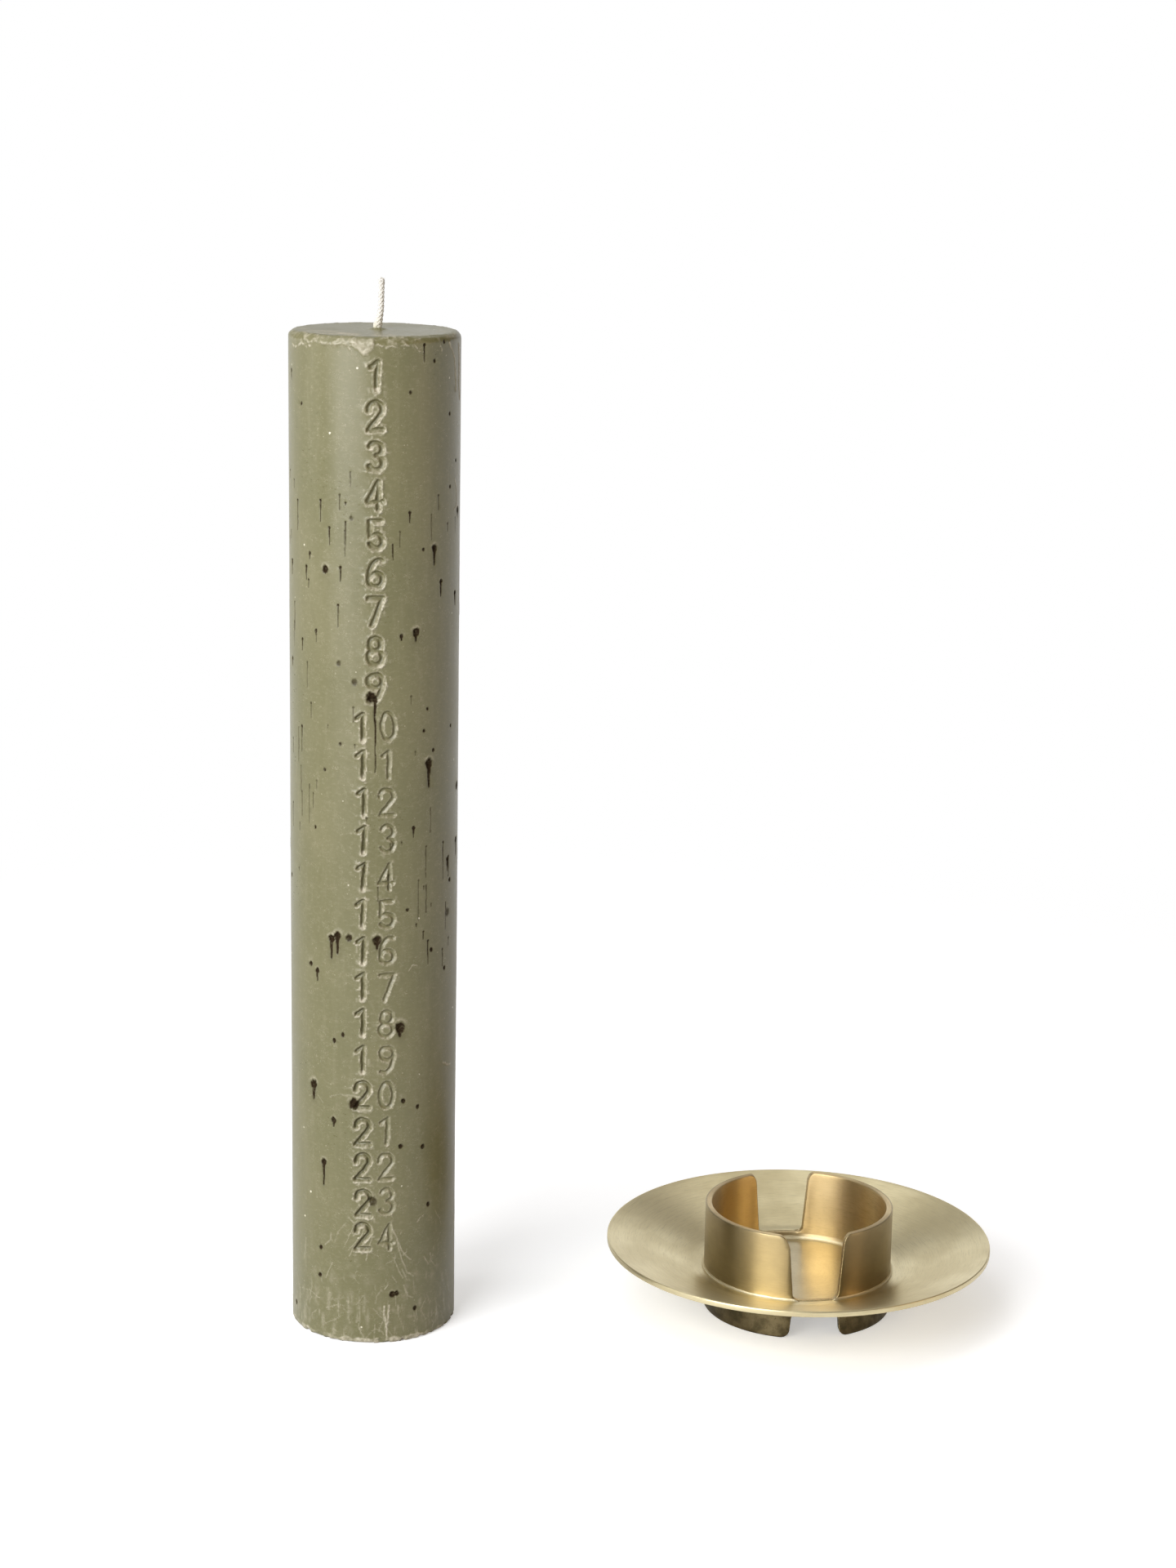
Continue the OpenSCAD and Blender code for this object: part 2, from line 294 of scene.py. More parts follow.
# Dark flecks: azimuth in degrees, height of the head, length of the tail, width, strength from 1 to 9
MARKS = [
    (-68.8, 293.2, 3.4, 0.7, 8), (-52.7, 284.4, 1, 0.7, 6), (38.1, 302, 5.6, 0.6, 6),
    (56, 302.6, 0.6, 0.7, 7), (46.8, 297.4, 0.6, 0.7, 7), (27.7, 288.8, 0.7, 0.7, 5),
    (63, 281.8, 0.7, 0.7, 6), (73.4, 267.9, 1.2, 0.7, 7), (64.1, 260.7, 1.2, 0.7, 6),
    (-58.3, 256.2, 9.4, 0.5, 6), (-34.2, 257.3, 6.7, 0.6, 8), (-27.2, 249.7, 5.7, 0.6, 7),
    (-11.1, 253.1, 1.2, 1, 2), (27.7, 254.5, 3.9, 0.6, 7), (47.6, 244, 6.2, 1.5, 9),
    (38.1, 243.5, 0.7, 0.7, 6), (-30.6, 238.1, 2.5, 1.5, 9), (-19, 238.5, 4.9, 0.7, 7),
    (-47.8, 237.6, 4.7, 0.7, 7), (-44.3, 241.7, 2.5, 0.7, 7), (-68.8, 238, 5, 1, 8),
    (54.2, 233.7, 5.4, 0.9, 8), (73.4, 229.1, 4.5, 1, 8), (-20.8, 227.4, 6.9, 0.6, 6),
    (32.8, 220.1, 3.9, 1.7, 9), (22.2, 218.8, 2.2, 0.9, 8), (-38.6, 219.3, 1.2, 0.8, 7),
    (-52.7, 215.9, 4.2, 0.6, 6), (-68.8, 209.1, 3.2, 0.9, 7), (-9.4, 205.6, 1.5, 1.3, 3),
    (-20.2, 210.8, 1.2, 1.1, 3), (2, 201.8, 2.6, 2.2, 9), (4.4, 200.2, 8.5, 1.1, 9),
    (4.6, 195.5, 17.7, 0.5, 7), (-53.8, 189.8, 8.2, 0.6, 6), (-19, 186.7, 1, 0.7, 5),
    (-31.3, 178.5, 1, 0.7, 5), (39.5, 190.1, 1, 0.7, 6), (67.7, 189.8, 1.2, 0.7, 7),
    (42.3, 196.5, 1.2, 0.7, 6), (47.6, 183.9, 1, 0.7, 6), (43.8, 180.8, 8.7, 2, 9),
    (31.5, 161.4, 3.7, 0.8, 7), (-39.4, 160.7, 1.2, 0.7, 6), (64.1, 149.5, 4.5, 0.9, 8),
    (67.7, 142.9, 1.5, 0.9, 7), (27.1, 136.6, 1, 0.7, 6), (64.1, 133.7, 1.5, 1.7, 3),
    (-21.4, 129.1, 6.9, 1.7, 9), (-25.9, 128, 7.4, 1.5, 9), (-12.9, 128.8, 1.7, 1.5, 5),
    (6.1, 128.5, 4.2, 2, 9), (-44.3, 118.6, 1.5, 1, 8), (-37.9, 117, 4.2, 1.1, 9),
    (46.8, 123.3, 1.2, 0.9, 7), (60.9, 116.2, 1.2, 0.9, 7), (22, 101.5, 4.6, 2.4, 9),
    (-24, 96.2, 1.7, 0.9, 7), (-17.7, 98.4, 1.5, 0.9, 6), (-41.8, 81.6, 6.2, 2, 9),
    (24.6, 77.7, 1.5, 1, 8), (35.4, 75.1, 1.2, 0.9, 7), (-9.5, 77.9, 3, 2.3, 9),
    (-24.6, 71.4, 3.2, 1.2, 8), (22.8, 63.5, 1.5, 1, 7), (40.2, 62.1, 1.5, 1, 7),
    (-32.7, 57.6, 8.6, 1.4, 9), (3.4, 47, 2.2, 1.8, 4), (45.2, 43.1, 1.5, 1, 7),
    (-35.6, 29.7, 1.6, 1, 7), (-36.4, 20.7, 1.6, 1, 7), (17.2, 16.4, 2, 1.3, 7),
    (20.5, 16.6, 1.6, 1.1, 7), (34.1, 10.7, 1.4, 1, 7), (-66.9, 7.4, 1.9, 1, 8),
    (41.5, 155, 10, 0.4, 4), (42, 143, 9, 0.4, 4), (58.4, 155, 12, 0.5, 6), (35.5, 145, 13, 0.35, 3),
    (43.7, 126, 8, 0.5, 6), (58.4, 122, 6, 0.5, 6), (-58.4, 189, 11, 0.35, 4),
    (-45.5, 172.8, 12, 0.35, 3), (65.6, 150, 7, 0.6, 7), (62, 136, 9, 0.4, 4), (-64, 226, 9, 0.4, 6),
]

# Pale raised lines and flakes: points of azimuth and height, half width, lift in mm, paleness
FLAKES = [
    ([(-66, 300.6), (-62, 299.6), (-57, 300.2), (-52, 301.4), (-46, 300.4), (-41, 301.2)], 0.3, 0.12, 0.8),
    ([(-33, 301.8), (-25, 301.5), (-18, 302.2), (-11, 301.2)], 0.25, 0.1, 0.6),
    ([(-11, 302.4), (-8, 301.2), (-3, 299.8), (0, 300.4), (2.5, 302)], 0.8, 0.2, 0.7),
    ([(-10, 302.8), (-4, 301.6), (2, 302.8)], 1, 0.14, 0.5),
    ([(-2.5, 300.4), (-1, 299.2)], 0.5, 0.2, 0.85),
    ([(-13.5, 301.2), (-11.5, 300)], 0.25, 0.12, 1),
    ([(-49, 302.4), (-44, 301.6), (-38, 302.2), (-30, 301.8), (-22, 301.6), (-15, 302)], 0.35, 0.12, 0.6),
    ([(31, 301.6), (34, 300), (38, 299.6)], 0.22, 0.1, 0.8),
    ([(52, 301), (54, 299.6)], 0.3, 0.12, 0.8),
    ([(3, 301.2), (7, 301.9), (11, 301), (15, 301.8), (19, 301.1), (24, 301.9), (29, 301.4)],
     0.25, 0.1, 0.8),
    ([(62, 301.6), (66, 299.8), (70, 297), (72, 292.5), (73, 287.5)], 0.3, 0.14, 0.8),
    ([(78, 300.5), (80, 295), (79, 289), (82, 284.5)], 0.35, 0.15, 0.9),
    ([(72, 262), (76, 257.5), (75, 254), (71, 253.2)], 0.22, 0.1, 0.8),
    ([(88, 240), (87, 229), (88.5, 221)], 0.2, 0.08, 0.6),
    ([(11.4, 12), (11.9, 8.6), (13, 5.4), (13.6, 1)], 0.3, 0.12, 1),
    ([(14.6, 12.2), (14.4, 8.4), (13.6, 5.6)], 0.28, 0.12, 0.95),
    ([(-7, 39.5), (-11, 36.5), (-16, 31.5)], 0.14, 0.06, 0.4),
    ([(-1, 38), (-7, 33), (-13, 28)], 0.14, 0.06, 0.45),
    ([(0, 34.5), (-2.5, 31)], 0.14, 0.07, 0.5),
    ([(3, 34.5), (0, 30), (-1, 27)], 0.15, 0.07, 0.5),
    ([(-4, 35), (-13, 30)], 0.12, 0.05, 0.35),
    ([(-26, 25), (-29, 22), (-31, 19.5)], 0.15, 0.07, 0.5),
    ([(17, 37), (21, 32.5), (25, 28.5), (31, 26)], 0.2, 0.08, 0.55),
    ([(20, 33), (24, 26.5), (28, 22), (33, 20.5)], 0.2, 0.08, 0.5),
    ([(18.5, 27.5), (21, 23.5), (24.5, 20.5)], 0.18, 0.07, 0.5),
    ([(24, 23.5), (28, 19.5)], 0.16, 0.07, 0.45),
    ([(25.5, 18), (29, 14.5), (33, 13.6)], 0.18, 0.07, 0.45),
    ([(42, 26), (45.5, 23)], 0.2, 0.08, 0.6),
    ([(12, 17.5), (14, 19)], 0.18, 0.08, 0.6),
    ([(17, 21.5), (20, 19.5)], 0.15, 0.06, 0.4),
    ([(-8, 12.5), (-3, 15.5), (0, 13.5)], 0.12, 0.05, 0.35),
    ([(-30, 12.5), (-25, 13.8)], 0.12, 0.05, 0.35),
    ([(-46, 76.5), (-38, 77.5), (-33, 75.5)], 0.12, 0.05, 0.4),
    ([(-27, 78), (-20, 79), (-12, 79)], 0.12, 0.05, 0.4),
    ([(28, 117.5), (31, 119), (35, 118.6)], 0.16, 0.07, 0.6),
    ([(60, 86), (66, 84.5), (71, 84)], 0.25, 0.1, 0.8),
]


def arc_points(x, y, rx, ry, start, end, steps=14):
    turn = np.radians(np.linspace(start, end, steps + 1))
    return np.stack([x + rx * np.cos(turn), y + ry * np.sin(turn)], 1)


def digit_strokes(n):
    """Middle lines of a digit's grooves, 4 mm wide and 7.8 mm high."""
    w, h = 2.0, 3.9
    low, high, small = w - h, h - w, h - w
    hook_rx, hook_ry = 1.45 * w, 2 * h - w
    hook_x = hook_rx - w

    def ring(x, y, rx, ry):
        return arc_points(x, y, rx, ry, 0, 360, 28)

    def line(*points):
        return np.array(points, float)

    return {
        0: [ring(0, 0, w, h)],
        1: [line((-0.8 * w, h - 0.7 * w), (0.15 * w, h), (0.15 * w, -h))],
        2: [np.concatenate([arc_points(0, high, w, w, 190, -35), line((-w, -h), (w, -h))])],
        3: [
            arc_points(0, h - small, 0.9 * w, small, 155, -80),
            arc_points(0, low, w, w, 80, -155),
        ],
        4: [line((0.5 * w, h), (-w, -h / 2), (w, -h / 2)), line((0.5 * w, h), (0.5 * w, -h))],
        5: [
            line((0.85 * w, h), (-0.8 * w, h), (-0.8 * w, low + 0.6 * w)),
            arc_points(0, low, w, w, 143, -150),
        ],
        6: [arc_points(hook_x, low, hook_rx, hook_ry, 180, 72), ring(0, low, w, w)],
        7: [line((-w, h), (w, h), (-0.35 * w, -h))],
        8: [ring(0, h - small, 0.85 * w, small), ring(0, low, w, w)],
        9: [arc_points(-hook_x, high, hook_rx, hook_ry, 0, -108), ring(0, high, w, w)],
    }[n]


def stroke_distance(x, y, lines):
    """Distance to the nearest line, with the direction away from it."""
    best = np.full(x.shape, 1e9)
    away_x, away_y = np.zeros(x.shape), np.zeros(x.shape)
    for points in lines:
        for a, b in zip(points, points[1:]):
            d = b - a
            t = np.clip(((x - a[0]) * d[0] + (y - a[1]) * d[1]) / max(d @ d, 1e-9), 0, 1)
            dx, dy = x - a[0] - t * d[0], y - a[1] - t * d[1]
            dist = np.hypot(dx, dy)
            near = dist < best
            best = np.where(near, dist, best)
            away_x, away_y = np.where(near, dx, away_x), np.where(near, dy, away_y)
    length = np.maximum(best, 1e-6)
    return best, away_x / length, away_y / length


def front_left(turn):
    """How far a turn in radians is on the front's left, where the rim is crusted."""
    return smooth(-1.4, -0.9, turn) * smooth(0.75, 0.2, turn)


class Wax:
    """Height above the plain wax, with its dark and pale areas, on the fine lattice. The dark areas
    include painted shade and the pale ones painted highlights.
    """

    def __init__(self):
        self.azimuth = -180 + np.arange(COLUMNS + 1) * 360 / COLUMNS
        run = np.arange(ROWS + 1) / ROWS * PROFILE
        level = run + BASE_ROUND - ARC_LOW
        ends = [run < ARC_LOW, run > ARC_LOW + WALL]
        low, high = run / BASE_ROUND - math.pi / 2, (run - ARC_LOW - WALL) / RIM_ROUND
        bend = np.select(ends, [BASE_ROUND, RIM_ROUND], 0)
        middle = np.select(ends, [BASE_ROUND, CANDLE_H - RIM_ROUND], level)
        self.angle = np.select(ends, [low, high], 0)
        self.r = CANDLE_R - bend + bend * np.cos(self.angle)
        self.z = middle + bend * np.sin(self.angle)
        self.s, self.v = np.meshgrid(np.radians(self.azimuth) * CANDLE_R, level)
        self.height, self.dark, self.pale = (np.zeros(self.s.shape) for _ in range(3))
        self.surface()
        self.lower_zone()
        self.flakes()
        self.ends()
        self.numerals()
        self.marks()
        for layer in (self.height, self.dark, self.pale):
            layer[:, -1] = layer[:, 0]

    def noise(self, cell_x, cell_y, seed, layers=3, where=...):
        s, v = self.s[where] + 200, self.v[where] + 50
        return layered_noise(s, v, cell_x, cell_y, seed, layers, GIRTH)

    def window(self, azimuth, z, reach_x, reach_z):
        """Index of the lattice's part near a point, with its distances right and up from there."""
        off = np.abs(np.radians(self.azimuth - azimuth)) * CANDLE_R
        columns = np.nonzero(off < reach_x)[0]
        rows = np.nonzero(np.abs(self.v[:, 0] - z) < reach_z)[0]
        where = np.s_[rows[0] : rows[-1] + 1, columns[0] : columns[-1] + 1]
        return where, self.s[where] - math.radians(azimuth) * CANDLE_R, self.v[where] - z

    def darken(self, amount, where=...):
        self.dark[where] = np.maximum(self.dark[where], amount)

    def lighten(self, amount, where=...):
        self.pale[where] = np.maximum(self.pale[where], amount)

    def surface(self):
        self.height += 0.06 * self.noise(26, 60, 3, 2) + 0.022 * self.noise(5, 16, 11, 2)
        self.height += 0.012 * self.noise(1.6, 14, 17, 2) * smooth(0, 40, 60 - self.v)

    def numerals(self):
        rng = np.random.default_rng(24)
        half_pair = math.degrees(PAIR_PITCH / 2 / CANDLE_R)
        for n in range(1, 25):
            z = CANDLE_H - ROW_DROP - (n - 1) * ROW_PITCH
            if n < 10:
                self.digit(n, NUMERAL_TURN, z, 0.92, 0.8, 1.0, rng)
            else:
                half, depth = (0.76, 0.9) if n < 20 else (0.88, 1.05)
                self.digit(n // 10, NUMERAL_TURN - half_pair, z, half, depth, 0.85, rng)
                self.digit(n % 10, NUMERAL_TURN + half_pair, z, 0.7, 0.55, 0.45, rng)

    def digit(self, n, azimuth, z, half, depth, lip, rng):
        """A digit pressed in by hand: painted shade on one wall, a painted highlight on the other, and wax
        pushed up round it.
        """
        where, x, y = self.window(azimuth, z, 5.6, 7.5)
        shift_x, shift_y, lean = rng.normal(0, [0.12, 0.14, 0.02])
        px = x - shift_x + lean * y + 0.2 * self.noise(2.2, 2.2, 41, 2, where)
        py = y - shift_y + 0.2 * self.noise(2.2, 2.2, 57, 2, where)
        dist, away_x, away_y = stroke_distance(px, py, digit_strokes(n))
        side = 0.62 * away_x - 0.78 * away_y
        lit = 0.5 + 0.5 * side
        rough = self.noise(0.7, 0.7, 71, 2, where)
        fine = smooth(-0.45, 0.45, self.noise(0.45, 0.45, 79, 1, where))
        crumb = smooth(-0.3, 0.5, self.noise(1.1, 1.1, 97, 2, where))
        press = depth * (1 + 0.2 * self.noise(3, 3, 83, 1, where))
        edge = (dist + 0.07 * rough) / half
        ridge = bell(edge, 1.3, 0.26)
        self.height[where] -= press * (1 - smooth(0.2 - 0.2 * side, 1.02, edge))
        self.height[where] += ridge * lip * (0.07 + 0.24 * crumb * (0.35 + 0.65 * lit))
        self.height[where] += 0.05 * lip * bell(edge, 1.9, 0.9)
        self.height[where] += 0.05 * (rough + fine) * lip * (ridge + 0.6 * (edge < 1))
        outer = bell(edge, 1.56, 0.09) * smooth(-0.3, 0.3, rough) * lip
        # Pale crumbs round the groove, brighter on the lit side, and a painted highlight on the lit wall
        wall = smooth(0.1, 0.45, edge) * (1 - smooth(0.95, 1.12, edge)) * smooth(-0.15, 0.5, side)
        pale = bell(edge, 1.14, 0.1) * (0.55 + 0.45 * crumb) * (0.55 + 0.45 * lit) + 0.55 * outer
        pale += wall * (0.22 + 0.7 * fine * (0.4 + 0.6 * crumb)) * (0.5 + 0.5 * lip)
        pale += 0.65 * ridge * lip * crumb * lit * fine
        if n == 1 and lip > 0.5:
            foot = bell(px - 0.3 * (py + 4.1), 0.1, 0.8) * bell(py, -4.0, 0.6)
            self.height[where] += 0.5 * depth * foot
            pale += 1.2 * foot
        crumbs = smooth(0.58, 0.76, self.noise(0.9, 0.9, 103, 1, where)) * lip
        crumbs = crumbs * smooth(0.9, 1.2, edge) * bell(dist, 0, 2)
        self.height[where] += 0.16 * crumbs
        self.lighten(np.clip(pale + 0.8 * crumbs, 0, 1), where)
        # Painted shade on the wall that faces away from the light
        wall = smooth(0.1, 0.5, edge) * (1 - smooth(0.85, 1.0, edge)) * smooth(-0.1, 0.7, -side)
        shade = wall * (0.2 if depth < 0.85 else 0.75 * depth - 0.2)
        shade = shade * (0.55 + 0.45 * lip) * (0.8 + 0.2 * rough)
        self.darken(np.clip(shade, 0, 0.6), where)

    def marks(self):
        rng = np.random.default_rng(73)
        for azimuth, z, tail, width, strength in MARKS:
            self.fleck(azimuth, z, tail, width, strength / 9)
        # Faint streaks on the front
        for _ in range(46):
            azimuth, z = rng.uniform(-76, 76), rng.uniform(120, 268)
            tail, width = rng.choice([1.5, 3.0, 5.0, 8.0]), rng.uniform(0.35, 0.5)
            self.fleck(azimuth, z, tail, width, rng.uniform(0.15, 0.6))
        # The sides and the back, which the list doesn't reach
        for _ in range(60):
            azimuth = rng.uniform(78, 288)
            z, tail = rng.uniform(8, 298), rng.choice([0.8, 1.2, 3.5, 6.0])
            width, strength = rng.uniform(0.6, 1.7), rng.uniform(0.6, 1)
            self.fleck((azimuth + 180) % 360 - 180, z, tail, width, strength)

    def fleck(self, azimuth, z, tail, width, strength):
        """A round pit with a dark tail that runs down from it."""
        where, x, y = self.window(azimuth, z - tail / 2, width + 1.5, tail / 2 + width + 2)
        down = tail / 2 - y
        rough = self.noise(0.8, 0.8, 131, 2, where)
        x = x + 0.1 * self.noise(1.5, 2.5, 141, 1, where)
        radius = 0.58 * width + 0.06
        head = np.hypot(x / radius, (down - radius) / (radius * 1.2)) + 0.25 * rough
        taper = radius * np.clip(0.66 - 0.45 * down / max(tail, 0.1), 0.14, 0.66)
        inside = smooth(-0.3, 0.3, down) * smooth(tail + 0.5, tail - 0.6, down)
        stem = np.abs(x) / np.maximum(taper, 0.13) + 0.25 * rough + 3 * (1 - inside)
        spot = np.maximum(1 - smooth(0.75, 1.3, head), 0.9 * (1 - smooth(0.7, 1.5, stem)))
        core = np.maximum(1 - smooth(0.2, 1.1, head), 0.5 * (1 - smooth(0.2, 1.3, stem)))
        rim = bell(head, 1.5, 0.25) * smooth(0.6, 1.6, width)
        self.height[where] -= core * strength * min(0.6, 0.18 + 0.24 * width)
        self.height[where] += 0.08 * rim * strength
        # Painted highlight on the upper side of the raised rim round the pit
        rim_highlight = 0.6 * rim * smooth(radius, -0.2, down) * (0.5 + 0.5 * smooth(-0.3, 0.3, rough))
        self.pale[where] *= 1 - spot
        self.lighten(rim_highlight * strength, where)
        self.darken(np.clip(1.3 * spot * (0.3 + 0.7 * strength), 0, 1), where)
        halo = 0.22 * bell(x, 0, 1.3 * radius) * smooth(-0.5, 0.5, down)
        halo = halo * smooth(tail + 2.5, tail - 1.0, down) * smooth(0.9, 1.8, width)
        self.darken(halo * strength, where)

    def scrapes(self):
        """Fine random scratches near the base, as more lines of the same kind as FLAKES."""
        rng = np.random.default_rng(89)
        lines = []
        for _ in range(120):
            azimuth, z = rng.uniform(-172, 172), 3 + 38 * rng.random() ** 1.5
            lean, reach, bow = rng.normal(0, 0.65), rng.uniform(1.0, 3.8), rng.normal(0, 1.2)
            across, rise = math.degrees(reach * math.sin(lean) / CANDLE_R), reach * math.cos(lean)
            ends = [(azimuth - across, z - rise), (azimuth + bow, z), (azimuth + across, z + rise)]
            lines.append((ends, rng.uniform(0.11, 0.15), 0.03, rng.uniform(0.25, 0.55)))
        return lines

    def flakes(self):
        for points, half, lift, pale in FLAKES + self.scrapes():
            line = np.array(points, float)
            line[:, 0] = np.radians(line[:, 0]) * CANDLE_R
            middle = (line.min(0) + line.max(0)) / 2
            reach = (line.max(0) - line.min(0)) / 2 + half + 1.5
            where = self.window(math.degrees(middle[0] / CANDLE_R), middle[1], *reach)[0]
            s = self.s[where] + 0.25 * self.noise(1.6, 1.6, 151, 2, where)
            v = self.v[where] + 0.3 * self.noise(1.6, 1.6, 163, 2, where)
            dist = stroke_distance(s, v, [line])[0] / half
            mask = 1 - smooth(0.5, 1.3, dist + 0.3 * self.noise(0.9, 0.9, 173, 2, where))
            if half < 0.6 and middle[1] > 295:
                mask = mask * smooth(-0.35, 0.15, self.noise(0.8, 0.8, 179, 2, where))
            self.height[where] += lift * mask
            self.lighten(pale * mask, where)

    def ends(self):
        """The crusted rim at the top with a painted highlight along its edge, and the chipped lip round
        the base with painted shade in its chips.
        """
        chip = self.noise(2.6, 1.2, 181, 3)
        front = front_left(self.s / CANDLE_R)
        near_rim = smooth(CANDLE_H - 3.6, CANDLE_H - 1.2, self.v)
        flake = smooth(0.25 - 0.4 * front, 0.4 - 0.3 * front, chip) * near_rim * (0.7 + 0.3 * front)
        self.height += 0.10 * flake
        self.lighten(0.5 * flake * smooth(-0.25, 0.3, self.noise(1.1, 1.1, 185, 2)))
        # A broken pale line along the rounded top edge: a painted highlight
        edge = bell(self.v, CANDLE_H - 0.6, 0.45)
        self.lighten(0.4 * edge * smooth(-0.1, 0.5, self.noise(2.4, 9, 187, 2)))
        ragged = self.noise(2.4, 9, 191, 3)
        band = 1 - smooth(0.5, 0.85, self.v - 0.9 - 0.9 * ragged)
        lip = band * smooth(-0.35, 0.25, self.noise(3.4, 30, 197, 2))
        bite = smooth(0.28, 0.5, self.noise(3.0, 2.6, 199, 2)) * (1 - smooth(0.2, 1.9, self.v))
        self.height += 0.14 * lip - 0.5 * bite
        self.lighten(lip * (0.9 + 0.2 * chip))
        # Painted shade in the chips at the foot
        self.darken(0.55 * bite * smooth(0.2, 0.5, self.noise(1.9, 1.4, 203, 2)))

    def lower_zone(self):
        """Short scraped streaks above the base, thickest at the very foot."""
        low = smooth(36, 4, self.v)
        bend = self.s + 0.06 * (self.v - 30) * self.s / 12
        streak = layered_noise(bend + 200, self.v + 50, 0.75, 7, 227, 2, GIRTH)
        dash = layered_noise(bend + 200, self.v + 50, 0.5, 3.4, 229, 2, GIRTH)
        self.height += (0.035 * streak + 0.02 * dash) * low
        self.lighten((0.34 * smooth(0.25, 0.7, streak) + 0.42 * smooth(0.42, 0.75, dash)) * low)


def split_error(field, size):
    """Largest gap between a field and its interpolation from each cell's corners."""
    rows, columns = field.shape[0] // size, field.shape[1] // size
    a, b = field[:-1:size, :-1:size], field[:-1:size, size::size]
    c, d = field[size::size, :-1:size], field[size::size, size::size]
    worst = np.zeros((rows, columns))
    for i in range(size + 1):
        for j in range(size + 1):
            u, v = j / size, i / size
            flat = (a * (1 - u) + b * u) * (1 - v) + (c * (1 - u) + d * u) * v
            true = field[i : i + rows * size : size, j : j + columns * size : size]
            worst = np.maximum(worst, np.abs(true[:rows, :columns] - flat))
    return worst


def lattice_cells(wax):
    """Square cells, small where the surface or its colour changes fast."""
    fields = (wax.height / 0.026, wax.dark / 0.21, wax.pale / 0.28)
    split = {size: np.max([split_error(f, size) for f in fields], 0) > 1 for size in (8, 4, 2)}
    split[8][-3:, :] = True
    split[4][-4:, 96:224] = True
    cells = []

    def visit(size, i, j):
        if size > 1 and split[size][i, j]:
            for di in (0, 1):
                for dj in (0, 1):
                    visit(size // 2, 2 * i + di, 2 * j + dj)
        else:
            cells.append((size, i * size, j * size))

    for i in range(ROWS // CELL):
        for j in range(COLUMNS // CELL):
            visit(CELL, i, j)
    return cells


def build_candle(material):
    wax = Wax()
    cells = lattice_cells(wax)
    used = np.zeros((ROWS + 1, COLUMNS), bool)
    for size, i, j in cells:
        used[i : i + size + 1 : size, [j, (j + size) % COLUMNS]] = True
    index = np.full(used.shape, -1)
    index[used] = np.arange(used.sum())
    rows, columns = np.nonzero(used)
    lift = wax.height[rows, columns]
    r = wax.r[rows] + np.cos(wax.angle[rows]) * lift
    z = np.maximum(wax.z[rows] + np.sin(wax.angle[rows]) * lift, 0)
    turn = np.radians(wax.azimuth[columns])
    verts = list(zip(CANDLE_X + r * np.sin(turn), CANDLE_Y - r * np.cos(turn), z))
    dark, pale = list(wax.dark[rows, columns]), list(wax.pale[rows, columns])
    faces = []
    for size, i, j in cells:
        path = (
            [(i, j + k) for k in range(size)]
            + [(i + k, j + size) for k in range(size)]
            + [(i + size, j + size - k) for k in range(size)]
            + [(i + size - k, j) for k in range(size)]
        )
        faces.append([index[a, b % COLUMNS] for a, b in path if used[a, b % COLUMNS]])

    def edge_of(row, parts):
        """The corners in use along one row of the lattice, in parts that share their ends."""
        step = COLUMNS // parts
        runs = [np.arange(p * step, (p + 1) * step + 1) % COLUMNS for p in range(parts)]
        return [index[row, run][used[row, run]].tolist() for run in runs]

    def add_ring(radius, z, count, tint=lambda x, y, radius: 0.0):
        """A level ring whose middle slides to the wick's bore as it shrinks."""
        slide = WICK_OFF * (1 - (radius - WICK_BORE_R) / (CANDLE_R - WICK_BORE_R))
        turns = np.radians(-180 + np.arange(count) * 360 / count)
        first = len(verts)
        x, y = radius * np.sin(turns), -radius * np.cos(turns)
        height = np.broadcast_to(z(x, y, radius) if callable(z) else z, x.shape)
        verts.extend(zip(CANDLE_X + slide + x, CANDLE_Y + y, height))
        dark.extend(np.zeros(count))
        pale.extend(np.broadcast_to(tint(x, y, radius), x.shape))
        return list(range(first, first + count))

    def bridge(segments, ring, upward):
        for p, outer in enumerate(segments):
            face = outer + [ring[(p + 1) % len(ring)], ring[p]]
            faces.append(face if upward else face[::-1])

    def as_segments(ring, parts):
        step, closed = len(ring) // parts, ring + ring[:1]
        return [closed[p * step : (p + 1) * step + 1] for p in range(parts)]

    def top_z(x, y, radius):
        ripple = layered_noise(x + 60, y + 60, 7, 7, 301, 3)
        return CANDLE_H + 0.10 * ripple * smooth(22.6, 20.5, radius) + 0.55 * bell(radius, 1.3, 1.1)

    def top_tint(x, y, radius):
        chip = layered_noise(x + 60, y + 60, 3.4, 3.4, 307, 3)
        front = front_left(np.arctan2(x, -y)) * smooth(9, 17, radius)
        crust = smooth(0.25 - 0.4 * front, 0.45 - 0.35 * front, chip)
        return crust * np.maximum(0.6 * smooth(16, 22, radius), 0.8 * front)

    # Top: outer rings take 160 points and inner ones 80
    segments = edge_of(ROWS, 160)
    for radius in (22.3, 22.1, 21.6, 21, 20.1, 19, 17.6, 15.8, 13.8, 11.6, 9.4, 7.4, 5.6,
                   4.2, 3.1, 2.3, 1.7, 1.3, WICK_BORE_R):
        count = 160 if radius > 16 else 80
        if len(segments) != count:
            segments = as_segments(ring, count)
        ring = add_ring(radius, top_z, count, top_tint)
        bridge(segments, ring, True)
        segments = as_segments(ring, count)
    # Bore of the wick, downwards
    for level in (303, 290, 240, 160, 80, 10, 0):
        bore = add_ring(WICK_BORE_R, level, 80)
        bridge(as_segments(ring, 80), bore, True)
        ring = bore
    # Base
    segments = edge_of(0, 80)
    for radius in (22.5, 18, 12, 6, 2.5):
        ring = add_ring(radius, 0, 80)
        bridge(segments, ring, False)
        segments = as_segments(ring, 80)
    bridge(segments, bore, False)
    layers = {"dark": dark, "pale": pale}
    add_mesh("pressed_wax", verts, faces, "candle", "candle_wax", material, layers)


# Wick


